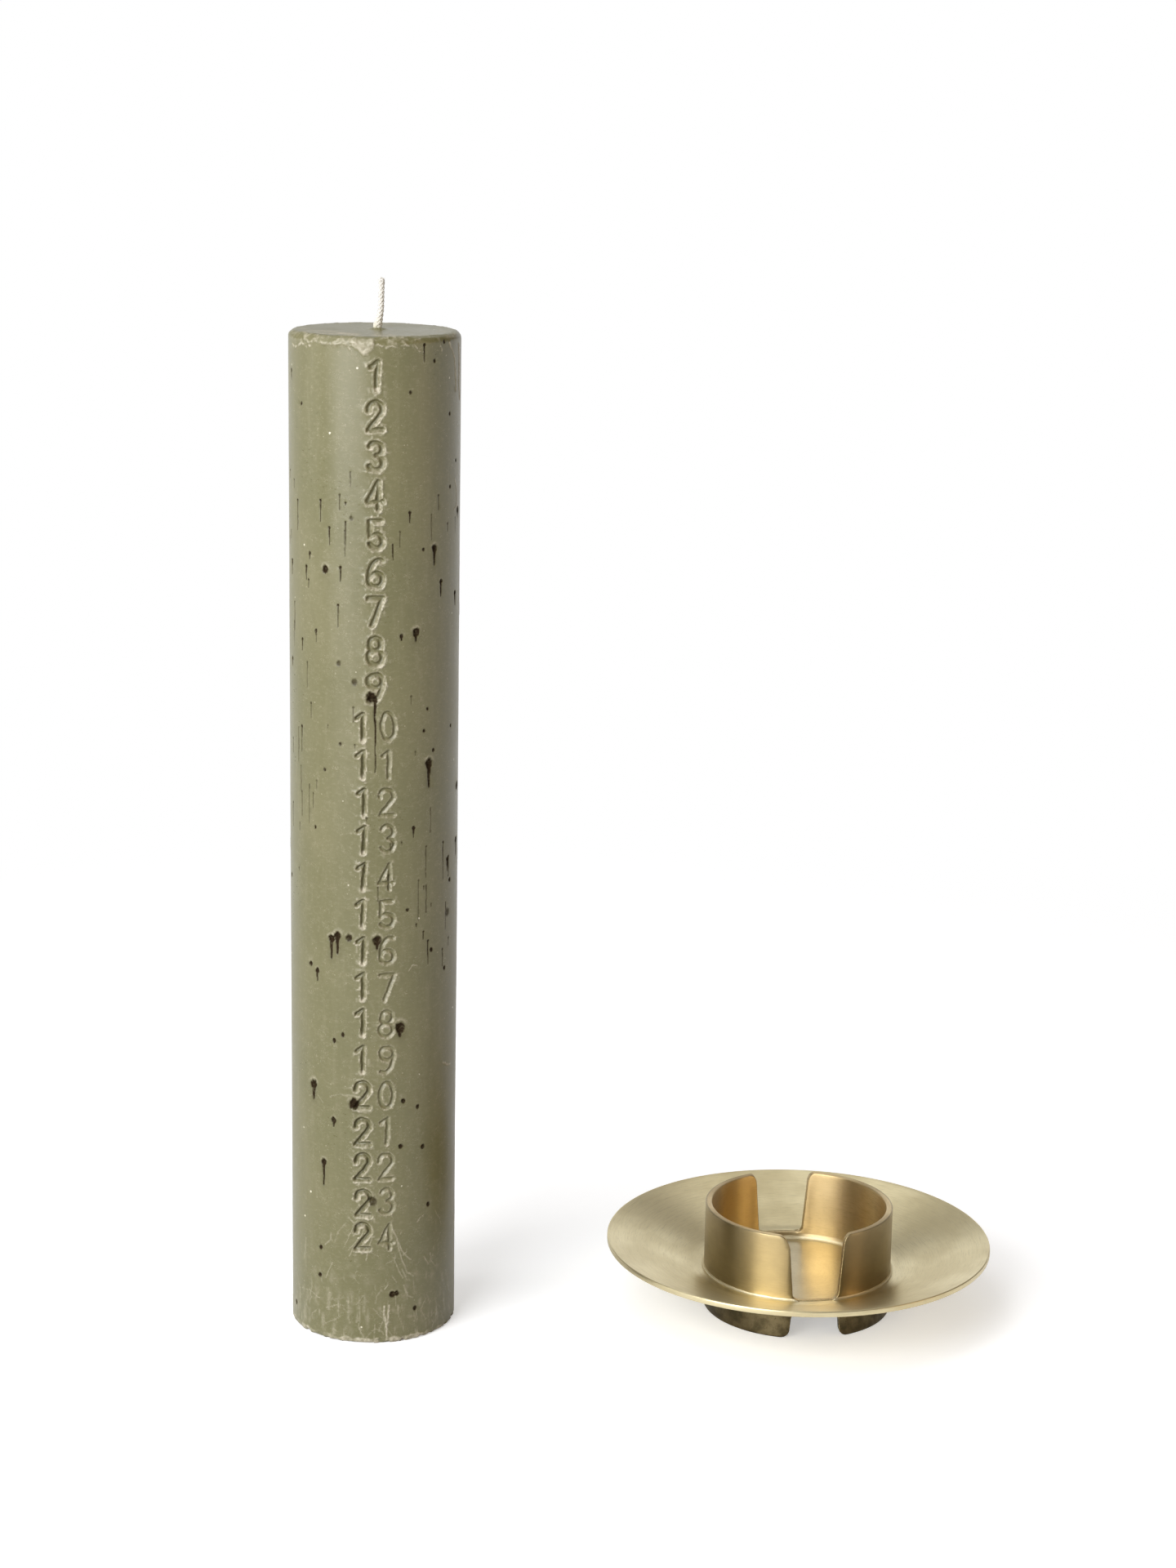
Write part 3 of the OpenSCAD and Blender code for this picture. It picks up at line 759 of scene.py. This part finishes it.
def cotton_material():
    material, t = new_material("wick_cotton")
    point = object_point(t)
    fine = t.noise(object_point(t, (1, 1, 0.25)), 5200, 2)
    colour = t.mix(t.span(fine, 0.3, 0.7), (0.66, 0.63, 0.575), (0.78, 0.76, 0.715))
    stain = t.times(t.span(t.split(point)[2], 0.3085, 0.3035), t.noise(point, 900, 2))
    colour = t.mix(stain, colour, (0.55, 0.52, 0.36))
    inputs = {"Base Color": colour, "Roughness": 0.85, "Sheen Weight": 0.3}
    shader = t.add("BsdfPrincipled", inputs | {"Normal": t.bump(fine, 0.5, 0.00005)})
    t.finish("OutputMaterial", shader)
    return material


def tube(path, radii, sides, verts, faces):
    """Adds a tube along a path, closed at both ends."""
    path, radii = np.asarray(path, float), np.broadcast_to(radii, len(path))
    ahead = np.gradient(path, axis=0)
    ahead /= np.linalg.norm(ahead, axis=1)[:, None]
    side = np.cross(ahead[0], [0.3, 1, 0.1])
    first = len(verts)
    turns = np.arange(sides) * 2 * math.pi / sides
    for p, a, r in zip(path, ahead, radii):
        side = side - a * (side @ a)
        side = side / np.linalg.norm(side)
        other = np.cross(a, side)
        verts.extend(p + r * (np.outer(np.cos(turns), side) + np.outer(np.sin(turns), other)))
    for i in range(len(path) - 1):
        for k in range(sides):
            a, b = first + i * sides + k, first + i * sides + (k + 1) % sides
            faces.append((a, b, b + sides, a + sides))
    last = first + (len(path) - 1) * sides
    faces.append(tuple(range(first + sides - 1, first - 1, -1)))
    faces.append(tuple(range(last, last + sides)))


def wick_lean(up):
    """How far the wick leans to the right, at a share of its length above the wax."""
    return np.interp(up, [0.02, 0.2, 0.4, 0.75, 1.0], [0, 0.45, 0.85, 0.95, 1.0])


def build_wick(material):
    """A braid of eight yarns above the wax, round a plain core that goes down through it."""
    rng = np.random.default_rng(8)
    verts, faces = [], []
    base_x, yarn_pitch = CANDLE_X + WICK_OFF, 5.2
    z = np.linspace(302.5, 318.9, 120)
    up = (z - CANDLE_H) / WICK_OUT
    middle = base_x + wick_lean(up) + np.interp(up, [0.0, 0.06, 0.3], [0.0, -0.35, 0.0])
    swell = np.interp(
        up, [-0.2, 0.0, 0.05, 0.25, 0.4, 0.88, 1.0], [1.0, 1.3, 1.6, 1.12, 0.98, 1.0, 1.22]
    )
    size = 0.34 * swell * (1 - 0.35 * smooth(0.93, 1.0, up))
    turn = 2 * math.pi * z / yarn_pitch
    for way in (1, -1):
        for k in range(4):
            angle = way * turn + k * math.pi / 2
            fray = smooth(0.86, 1.0, up) * rng.uniform(-0.3, 0.5)
            out = (0.49 + way * 0.07 * np.cos(4 * turn)) * swell + fray
            stop = len(z) - rng.integers(0, 8)
            path = np.stack([middle + out * np.cos(angle), CANDLE_Y + out * np.sin(angle), z], 1)
            tube(path[:stop], size[:stop], 8, verts, faces)
    core = np.concatenate([[0.6, 100, 200, 290, 300], np.linspace(302, 317.5, 40)])
    core_x = base_x + wick_lean((core - CANDLE_H) / WICK_OUT)
    path = np.stack([core_x, np.full(len(core), CANDLE_Y), core], 1)
    tube(path, np.where(core < 302.1, 0.88, 0.5), 12, verts, faces)
    # Loose fibres at the cut end
    share = np.linspace(0, 1, 6)[:, None]
    for _ in range(14):
        x, y = base_x + 1.0 + rng.normal(0, 0.45), CANDLE_Y + rng.normal(0, 0.45)
        ahead = np.array([*rng.normal(0, 0.35, 2), rng.uniform(1.0, 1.85)])
        bow = rng.normal(0, 0.12, 3) * [1, 1, 0]
        tube(np.array([x, y, 317.3]) + share * ahead + share**2 * bow, 0.05, 5, verts, faces)
    add_mesh("braided_wick", verts, faces, "candle", "wick", material)


# Brass


def scaled(colour, share):
    return tuple(share * c for c in colour)


def brass_material(name, light, shade, lines, rough, brushed, grooves=0.07):
    """Satin brass with faint turned lines, ring by ring on a sheet and level by level on a tube."""
    material, t = new_material(name)
    point = t.add("TexCoord", out=3)
    x, y, z = t.split(point)
    x, y = t.minus(x, HOLDER_X * MM), t.minus(y, HOLDER_Y * MM)
    radius = t.reach(x, y)
    angle = t.times(t.math("ARCTAN2", y, x), 0.0022)
    across = (radius, z) if lines == "rings" else (z, radius)
    lined = t.add("CombineXYZ", {0: across[0], 1: angle, 2: across[1]})
    fine = t.noise(lined, 5200, 2, 0.6)
    broad = t.noise(lined, 1300, 3, 0.6)
    cloud = t.noise(point, 42, 4)
    colour = t.mix(t.span(cloud, 0.36, 0.64), shade, light)
    colour = t.tint(colour, shade, t.span(broad, 0.45, 0.7), 0.5)
    colour = t.tint(colour, scaled(shade, 0.72), t.span(fine, 0.5, 0.75), 0.45)
    colour = t.tint(colour, scaled(shade, 0.4), t.patches(point, 2600, 2, 0.68, 0.76), 0.15)
    if lines == "levels":
        tarnish = t.patches(point, 160, 4, 0.3, 0.7, 0.8, 0.95)
        tarnish = t.times(tarnish, t.span(z, 0.013, 0.022, 0.85, 1.0))
        tarnish = t.times(t.span(radius, 0.0286, 0.0291), tarnish)
        colour = t.mix(tarnish, colour, (0.32, 0.255, 0.14))
        # Darker below the saucer: partly patina, partly painted shade from the saucer above
        below = t.span(z, 0.0118, 0.0085)
        patina_and_shade = t.times(below, t.patches(point, 260, 3, 0.3, 0.65, 0.7, 0.95))
        colour = t.mix(patina_and_shade, colour, (0.062, 0.049, 0.024))
        spots = t.times(below, t.span(t.noise(point, 2300, 3, 0.6), 0.6, 0.7))
        colour = t.tint(colour, (0.04, 0.03, 0.016), spots, 0.6)
    edge = t.add("Attribute", attribute_name="edge", out=2)
    worn = t.times(edge, t.patches(point, 1400, 3, 0.42, 0.6, 0.0, 0.4))
    colour = t.mix(worn, colour, scaled(light, 1.15))
    grime = t.times(edge, t.patches(point, 1700, 3, 0.54, 0.68, 0.0, 0.25))
    colour = t.mix(grime, colour, (0.12, 0.085, 0.04))
    roughness = t.span(cloud, 0.35, 0.65, rough[1], rough[0])
    roughness = t.plus(roughness, t.times(t.minus(broad, 0.5), 0.12), True)
    height = t.plus(t.times(fine, 0.5), t.times(broad, 0.5))
    inputs = {"Base Color": colour, "Metallic": 1.0, "Roughness": roughness}
    inputs |= {"Anisotropic": brushed, "Anisotropic Rotation": 0.25}
    inputs |= {"Tangent": t.add("Tangent", direction_type="RADIAL", axis="Z")}
    shader = t.add("BsdfPrincipled", inputs | {"Normal": t.bump(height, grooves, 0.0001)})
    t.finish("OutputMaterial", shader)
    return material


def around(r, turn, z):
    """Points round the holder's axis, from radii, turns in radians and heights."""
    x, y = HOLDER_X + r * np.sin(turn), HOLDER_Y - r * np.cos(turn)
    return np.stack(np.broadcast_arrays(x, y, z), 1)


def slot_half(depth, width, foot_r, mouth):
    """Right side of a slot, from the middle of its foot to its rounded mouth."""
    rise, rx, ry = math.tan(SLOT_LEAN), *mouth
    lean = math.degrees(SLOT_LEAN)
    foot_x = width / 2 + foot_r * rise - foot_r / math.cos(SLOT_LEAN)
    touch = math.atan(ry / rx * rise)
    mouth_x = width / 2 + (depth - ry + ry * math.sin(touch)) * rise + rx * math.cos(touch)
    foot = arc_points(foot_x, foot_r, foot_r, foot_r, -90, -lean, 8)
    mouth = arc_points(mouth_x, depth - ry, rx, ry, 180 - math.degrees(touch), 90, 10)
    return np.concatenate([[[0, 0]], foot, mouth])


def even_line(points, step):
    """The same line with its points a step apart, keeping its two ends."""
    length = np.concatenate([[0], np.cumsum(np.linalg.norm(np.diff(points, axis=0), axis=1))])
    count = max(2, round(length[-1] / step) + 1)
    at = np.linspace(0, length[-1], count)
    return np.stack([np.interp(at, length, points[:, k]) for k in (0, 1)], 1)


def slot_edge(slots, z0, upward, start, end):
    """An edge of the tube laid flat, with its two slots. Distances run round the outside."""
    points = []
    for centre, (left, right) in zip((0.0, math.pi * TUBE_OR), slots):
        both = np.concatenate([left[::-1] * [-1, 1], right[1:]])
        both[:, 0] = np.arcsin(np.clip(both[:, 0] / TUBE_OR, -1, 1)) * TUBE_OR + centre
        both[:, 1] = z0 + (both[:, 1] if upward else -both[:, 1])
        points.extend(both.tolist())
    level = points[0][1]
    return even_line(np.array([[start, level], *points, [end, level]]), 0.5)


def tube_point(flat, r):
    """Place on the tube of a point laid flat, at a radius. Near the slots the walls stay parallel."""
    angle = flat[:, 0] / TUBE_OR
    half_turn = np.round(angle / math.pi)
    off = angle - half_turn * math.pi
    straight = np.arcsin(np.clip(TUBE_OR / r * np.sin(off), -1, 1))
    near = 1 - smooth(math.radians(32), math.radians(80), np.abs(off))
    turn = half_turn * math.pi + off + (np.where(near > 0, straight, off) - off) * near
    return around(r, turn + math.radians(SLOT_TURN), flat[:, 1])


def inward(line, sign):
    """Unit directions into the sheet from a line that runs to the right."""
    ahead = np.gradient(line, axis=0)
    ahead /= np.linalg.norm(ahead, axis=1)[:, None]
    return np.stack([-ahead[:, 1], ahead[:, 0]], 1) * sign


def add_brass(name, verts, faces, node, slot, material, edge, weld_mm=0.0001):
    """A piece of the holder: points that meet are welded, and its faces turned outwards."""
    layers = {"edge": np.broadcast_to(edge, len(verts))}
    mesh = add_mesh(name, verts, faces, "holder", node, material, layers).data
    bm = bmesh.new()
    bm.from_mesh(mesh)
    bmesh.ops.remove_doubles(bm, verts=bm.verts, dist=weld_mm * MM)
    bmesh.ops.recalc_face_normals(bm, faces=bm.faces)
    bm.to_mesh(mesh)
    bm.free()
    mesh.shade_smooth()


def build_socket(material):
    """The slotted tube: two edges and a grid between them laid flat, then rolled up."""
    half = math.pi * TUBE_OR
    start, end = -half / 2, 1.5 * half
    slots = [
        [slot_half(HOLDER_H - FLAT_Z, SLOT_W, SLOT_FOOT_R, mouth) for mouth in mouths]
        for mouths in (FRONT_MOUTHS, BACK_MOUTHS)
    ]
    foot = [slot_half(FOOT_SLOT_H, FOOT_SLOT_W, SLOT_FOOT_R, FOOT_CORNER)] * 2
    upper = slot_edge(slots, FLAT_Z, True, start, end)
    lower = slot_edge((foot, foot), FOOT_SLOT_H, False, start, end)
    verts, faces, edge = [], [], []

    def off_level(line, sign, distance):
        """Which points of an edge are off the tube's level top or bottom."""
        return np.abs(line[:, 1] - (HOLDER_H if sign < 0 else 0)) > distance

    def ragged(line, sign, seed):
        """The line filed by hand, a few hundredths of a millimetre uneven."""
        uneven = value_noise(line[:, 0] + 100, line[:, 1] + 7, 1.7, 1.7, seed)
        inner = (np.arange(len(line)) > 2) & (np.arange(len(line)) < len(line) - 3)
        uneven = 0.025 * uneven * inner * off_level(line, sign, 0.05)
        return line + inward(line, sign) * uneven[:, None]

    def add(points, marks):
        first = len(verts)
        verts.extend(map(tuple, points))
        edge.extend(np.broadcast_to(marks, len(points)))
        return first

    upper, lower = ragged(upper, -1, 401), ragged(lower, 1, 409)
    inset_upper = upper + inward(upper, -1) * TUBE_EDGE_R
    inset_lower = lower + inward(lower, 1) * TUBE_EDGE_R
    for line in (inset_upper, inset_lower, upper, lower):
        line[0, 0], line[-1, 0] = start, end

    # Level grid points well inside the sheet, between its two insets
    columns = np.arange(start, end + 0.01, (end - start) / 150)
    border = np.concatenate([inset_upper, inset_lower])
    levels = [*np.arange(0.9, LEDGE_Z - 0.5, 1.0), LEDGE_Z - 0.06, LEDGE_Z + 0.06]
    levels += list(np.arange(LEDGE_Z + 0.9, HOLDER_H - 0.5, 1.0))
    grid = []
    for s in columns[1:-1]:
        for z in levels:
            if np.hypot(*(border - [s, z]).T).min() > 0.55:
                grid.append((s, z))
    ring = (
        list(map(tuple, inset_lower))
        + [(end, z) for z in levels]
        + list(map(tuple, inset_upper[::-1]))
        + [(start, z) for z in reversed(levels)]
    )
    count = len(ring)
    edges = [(k, (k + 1) % count) for k in range(count)]
    made = delaunay_2d_cdt([Vector(p) for p in ring + grid], edges, [list(range(count))], 1, 1e-7)
    flat = np.array([tuple(p) for p in made[0]])
    outer = add(tube_point(flat, TUBE_OR), 0.0)
    inner = add(tube_point(flat, np.where(flat[:, 1] > LEDGE_Z, TUBE_IR, UNDER_IR)), 0.0)
    faces.extend([tuple(outer + k for k in f) for f in made[2]])
    faces.extend([tuple(inner + k for k in reversed(f)) for f in made[2]])

    # Rounded rims between the outer and the inner skin
    for line, sign, inner_r in ((upper, -1, TUBE_IR), (lower, 1, UNDER_IR)):
        into, slot_marks = inward(line, sign), np.where(off_level(line, sign, 0.3), 1.0, 0.2)
        loops = []
        for r_end, r_step in ((TUBE_OR, -1), (inner_r, 1)):
            part = []
            for turn in np.radians([0, 25, 50, 75, 90]):
                r = r_end + r_step * TUBE_EDGE_R * (1 - math.cos(turn))
                shifted = line + into * TUBE_EDGE_R * (1 - math.sin(turn))
                shifted[0, 0], shifted[-1, 0] = start, end
                part.append(add(tube_point(shifted, r), slot_marks if turn > 0 else 0.15))
            loops.append(part)
        order = loops[0] + loops[1][::-1]
        for a, b in zip(order, order[1:]):
            for k in range(len(line) - 1):
                face = (a + k, a + k + 1, b + k + 1, b + k)
                faces.append(face if sign < 0 else face[::-1])
    add_brass("slotted_tube", verts, faces, "socket_tube", "brass_tube", material, edge, 0.004)


def revolve(section, count):
    """Closed skin round the holder's axis. The section gives radii and heights at each turn."""
    verts, faces = [], []
    for i in range(count):
        turn = i * 2 * math.pi / count
        r, z = section(turn)
        verts.extend(around(r, turn, z))
    size = len(r)
    for i in range(count):
        for k in range(size):
            a, b = i * size + k, i * size + (k + 1) % size
            c, d = ((i + 1) % count) * size + (k + 1) % size, ((i + 1) % count) * size + k
            faces.append((a, b, c, d))
    return verts, faces


def build_saucer(material):
    bend_start = TUBE_OR + FLAT_RING
    dx, dz = SAUCER_R - bend_start, SAUCER_RISE - BEND_R
    slope = math.atan2(dz, dx) + math.asin(BEND_R / math.hypot(dx, dz))
    turn = math.degrees(slope)
    rim = FLAT_Z + SAUCER_RISE - RIM_EDGE_R * math.tan(slope)
    hole = TUBE_OR + SEAM_GAP

    def bend(r, start, end):
        return arc_points(bend_start, FLAT_Z + BEND_R, r, r, start, end, 10)

    def rim_edge(depth, start, end):
        r, z = RIM_EDGE_R, rim - depth / math.cos(slope)
        return arc_points(SAUCER_R - r, z, r, r, start, end, 5)

    def between(a, b, step):
        return even_line(np.array([a[-1], b[0]]), step)[1:-1]

    under, over = bend(BEND_R + SHEET_T, -90, turn - 90), bend(BEND_R, turn - 90, -90)
    low_edge = rim_edge(SHEET_T - RIM_EDGE_R, turn - 90, 0)
    high_edge = rim_edge(RIM_EDGE_R, 0, turn + 90)
    profile = [
        [[hole, FLAT_Z - SHEET_T + 0.1], [hole + 0.1, FLAT_Z - SHEET_T]],
        under,
        between(under, low_edge, 1.6),
        low_edge,
        high_edge,
        between(high_edge, over, 1.2),
        over,
        [[hole + 0.1, FLAT_Z], [hole, FLAT_Z - 0.1]],
    ]
    r, z = np.concatenate(profile).T

    def section(turn):
        s = np.full(r.shape, turn * SAUCER_R + 500)
        uneven = layered_noise(s, r, 47.1, 14, 431, 2, 2 * math.pi * SAUCER_R)
        return r, z + 0.02 * smooth(31, 60, r) * uneven

    add_brass("dished_saucer", *revolve(section, 288), "saucer", "brass_sheet", material, 0)


def build_floor(material):
    rim, low, count = UNDER_IR - SEAM_GAP, FLOOR_Z - FLOOR_T, 144
    radii = np.linspace(0.4, rim - 0.3, 26)
    r = np.concatenate([radii, [rim - 0.05, rim, rim, rim - 0.05], radii[::-1]])
    z = np.full(len(r), low)
    z[26:30] = low + 0.05, low + 0.25, FLOOR_Z - 0.25, FLOOR_Z - 0.05
    z[30:] = FLOOR_Z

    def section(turn):
        uneven = layered_noise(r * math.sin(turn) + 90, r * math.cos(turn) + 90, 9, 9, 443, 2)
        return r, z + np.where(z > FLOOR_Z - 0.01, 0.035 * uneven - 0.03, 0)

    verts, faces = revolve(section, count)
    size = len(r)
    # The section starts and ends beside the axis: the thin wall there becomes two small caps
    faces = [f for f in faces if {f[0] % size, f[1] % size} != {0, size - 1}]
    faces.append(tuple(k * size for k in range(count)))
    faces.append(tuple(k * size + size - 1 for k in reversed(range(count))))
    add_brass("socket_floor", verts, faces, "floor_disc", "brass_floor", material, 0)


def fillet_section(leg):
    """Distances out and up of a hollow fillet's outline, from its corner."""
    curve = arc_points(leg, leg, leg - 0.06, leg - 0.06, 270, 180, 6)
    return np.concatenate([[[0, 0], [leg, 0]], curve, [[0, leg]]]).T


def seam_ripple(turn, radius, cell, seed):
    """Noise from -1 to 1 along a seam, which closes after a full turn."""
    s = np.array([turn * radius + 300])
    return layered_noise(s, np.zeros(1), cell, 3, seed, 2, 2 * math.pi * radius)[0]


def build_floor_braze(material):
    out, up = fillet_section(FLOOR_FILLET)

    def section(turn):
        grow = 1 + 0.18 * seam_ripple(turn, 27, 3.3, 457)
        return UNDER_IR - out * grow, FLOOR_Z + up * grow

    add_brass("floor_seam", *revolve(section, 240), "floor_braze", "braze", material, 0.25)


def build_saucer_braze(material):
    """The outer seam in two runs, between the slots."""
    slot = slot_half(HOLDER_H - FLAT_Z, SLOT_W, SLOT_FOOT_R, FRONT_MOUTHS[0])
    out, up = fillet_section(SAUCER_FILLET)
    size, steps = len(out), 150
    verts, faces = [], []
    for middle in (0.5 * math.pi, 1.5 * math.pi):
        first = len(verts)
        for share in np.arange(steps + 1) / steps:
            ripple = 0.2 * seam_ripple(middle + (share - 0.5) * math.pi, 29, 2.9, 461)
            grow = 1 + ripple * min(1, 12 * share, 12 * (1 - share))
            r, z = TUBE_OR + out * grow, up * grow
            half = np.interp(np.minimum(z, 3.9), slot[:9, 1], slot[:9, 0])
            reach = math.pi / 2 - np.arcsin(np.minimum(1, half / r))
            turn = middle + (share - 0.5) * 2 * reach + math.radians(SLOT_TURN)
            verts.extend(around(r, turn, FLAT_Z + z))
        for i in range(steps):
            for k in range(size):
                a, b = first + i * size + k, first + i * size + (k + 1) % size
                faces.append((a, b, b + size, a + size))
        last = first + steps * size
        faces.append(tuple(range(first, first + size)))
        faces.append(tuple(reversed(range(last, last + size))))
    add_brass("saucer_seam", verts, faces, "saucer_braze", "braze", material, 0.25)


# Stage


def build_stage():
    """A pale floor with a low curved backdrop, white to the camera and in reflections."""
    material, t = new_material("sweep")
    camera, mirrored = t.rays()
    x, y, _ = t.split(t.add("NewGeometry", out=0))
    near = t.span(t.reach(x, y), 0.60, 0.28)
    grey = t.add("BsdfDiffuse", {"Color": (0.84, 0.85, 0.875, 1)})
    glow = t.span(camera, 0, 1, 0.12, 0.40)
    shaded = t.add("AddShader", {0: grey, 1: t.add("Emission", {"Color": WHITE, "Strength": glow})})
    white = t.add("Emission", {"Color": WHITE, "Strength": 1.0})
    shown = t.add("MixShader", {0: near, 1: white, 2: shaded})
    plain = t.add("BsdfDiffuse", {"Color": (0.55, 0.55, 0.55, 1)})
    seen = t.highest(camera, mirrored)
    t.finish("OutputMaterial", t.add("MixShader", {0: seen, 1: plain, 2: shown}))
    bend = np.radians(np.arange(10, 91, 10))
    rows = [(1.6 + 0.4 * math.sin(a), 0.4 - 0.4 * math.cos(a)) for a in bend]
    rows = [(1.6, 0.0), *rows, (2.0, 1.05)]
    turns = np.radians(np.arange(60, 121, 5))
    verts = [(r * math.cos(a), r * math.sin(a), z) for r, z in rows for a in turns]
    count = len(turns)
    faces = [
        (k * count + i, k * count + i + 1, (k + 1) * count + i + 1, (k + 1) * count + i)
        for k in range(len(rows) - 1)
        for i in range(count - 1)
    ]
    first = len(verts)
    verts += [(x, y, 0) for x, y in ((-12, -12), (12, -12), (12, 12), (-12, 12))]
    faces.append(tuple(range(first, first + 4)))
    mesh = bpy.data.meshes.new("sweep")
    mesh.from_pydata(verts, [], faces)
    mesh.shade_smooth()
    mesh.materials.append(material)
    add_object("sweep", mesh)


def area_light(name, place, target, size, power, colour=(1, 1, 1)):
    data = bpy.data.lights.new(name, "AREA")
    data.shape, data.size, data.size_y = "RECTANGLE", *size
    data.energy, data.color = power, colour
    lamp = add_object(name, data)
    lamp.location = place
    lamp.rotation_euler = (Vector(target) - Vector(place)).to_track_quat("-Z", "Y").to_euler()


def build_light():
    world = bpy.data.worlds.new("studio")
    bpy.context.scene.world = world
    t = Tree(world)
    across, back, rise = t.split(t.add("TexCoord", out=0))
    camera, mirrored = t.rays()
    colour = t.mix(t.span(across, 0.0, 0.9), (0.24, 0.235, 0.225), (0.15, 0.11, 0.07))
    unseen = t.minus(1, t.highest(camera, mirrored))
    colour = t.mix(t.times(unseen, t.span(back, 0.1, 0.9)), colour, (0.6, 0.59, 0.57))
    low = t.times(camera, t.span(rise, 0.3, 0.14))
    low = t.highest(low, t.times(mirrored, t.span(rise, 0.16, 0.05)))
    colour = t.mix(low, colour, (1, 1, 1))
    t.finish("OutputWorld", t.add("Background", {"Color": colour, "Strength": 1.0}))
    candle = Vector((CANDLE_X, CANDLE_Y, 150)) * MM

    def beside(azimuth, distance, height):
        turn = math.radians(azimuth)
        return candle + Vector((math.sin(turn) * distance, -math.cos(turn) * distance, height - 0.15))

    area_light("key", beside(-33, 1.35, 0.68), candle, (1.05, 1.15), 25)
    area_light("left", beside(-85, 1.2, 0.6), candle, (0.4, 1.0), 2.3)
    area_light("right", beside(72, 1.4, 0.6), candle, (0.4, 1.0), 1.9, (1.0, 0.72, 0.48))
    area_light("back", (0.05, 0.95, 1.45), (0.02, 0, 0.1), (1.3, 0.6), 2.6)
    area_light("top", (-0.55, -0.3, 1.5), (-0.05, 0, 0.2), (0.8, 0.8), 6)


# Build

bpy.context.scene.view_settings.view_transform = "Standard"
build_stage()
build_light()

build_candle(wax_material())
build_wick(cotton_material())
tube_brass = brass_material(
    "brass_tube", (0.70, 0.55, 0.30), (0.56, 0.425, 0.22), "levels", (0.38, 0.44), 0.8
)
sheet_brass = brass_material(
    "brass_sheet", (0.81, 0.715, 0.455), (0.70, 0.605, 0.365), "rings", (0.33, 0.40), 0.35
)
floor_brass = brass_material(
    "brass_floor", (0.68, 0.59, 0.39), (0.60, 0.51, 0.32), "rings", (0.30, 0.36), 0.2, 0.015
)
braze = brass_material(
    "braze", (0.76, 0.67, 0.45), (0.68, 0.59, 0.38), "rings", (0.42, 0.5), 0.2
)
build_socket(tube_brass)
build_saucer(sheet_brass)
build_floor(floor_brass)
build_saucer_braze(braze)
build_floor_braze(braze)
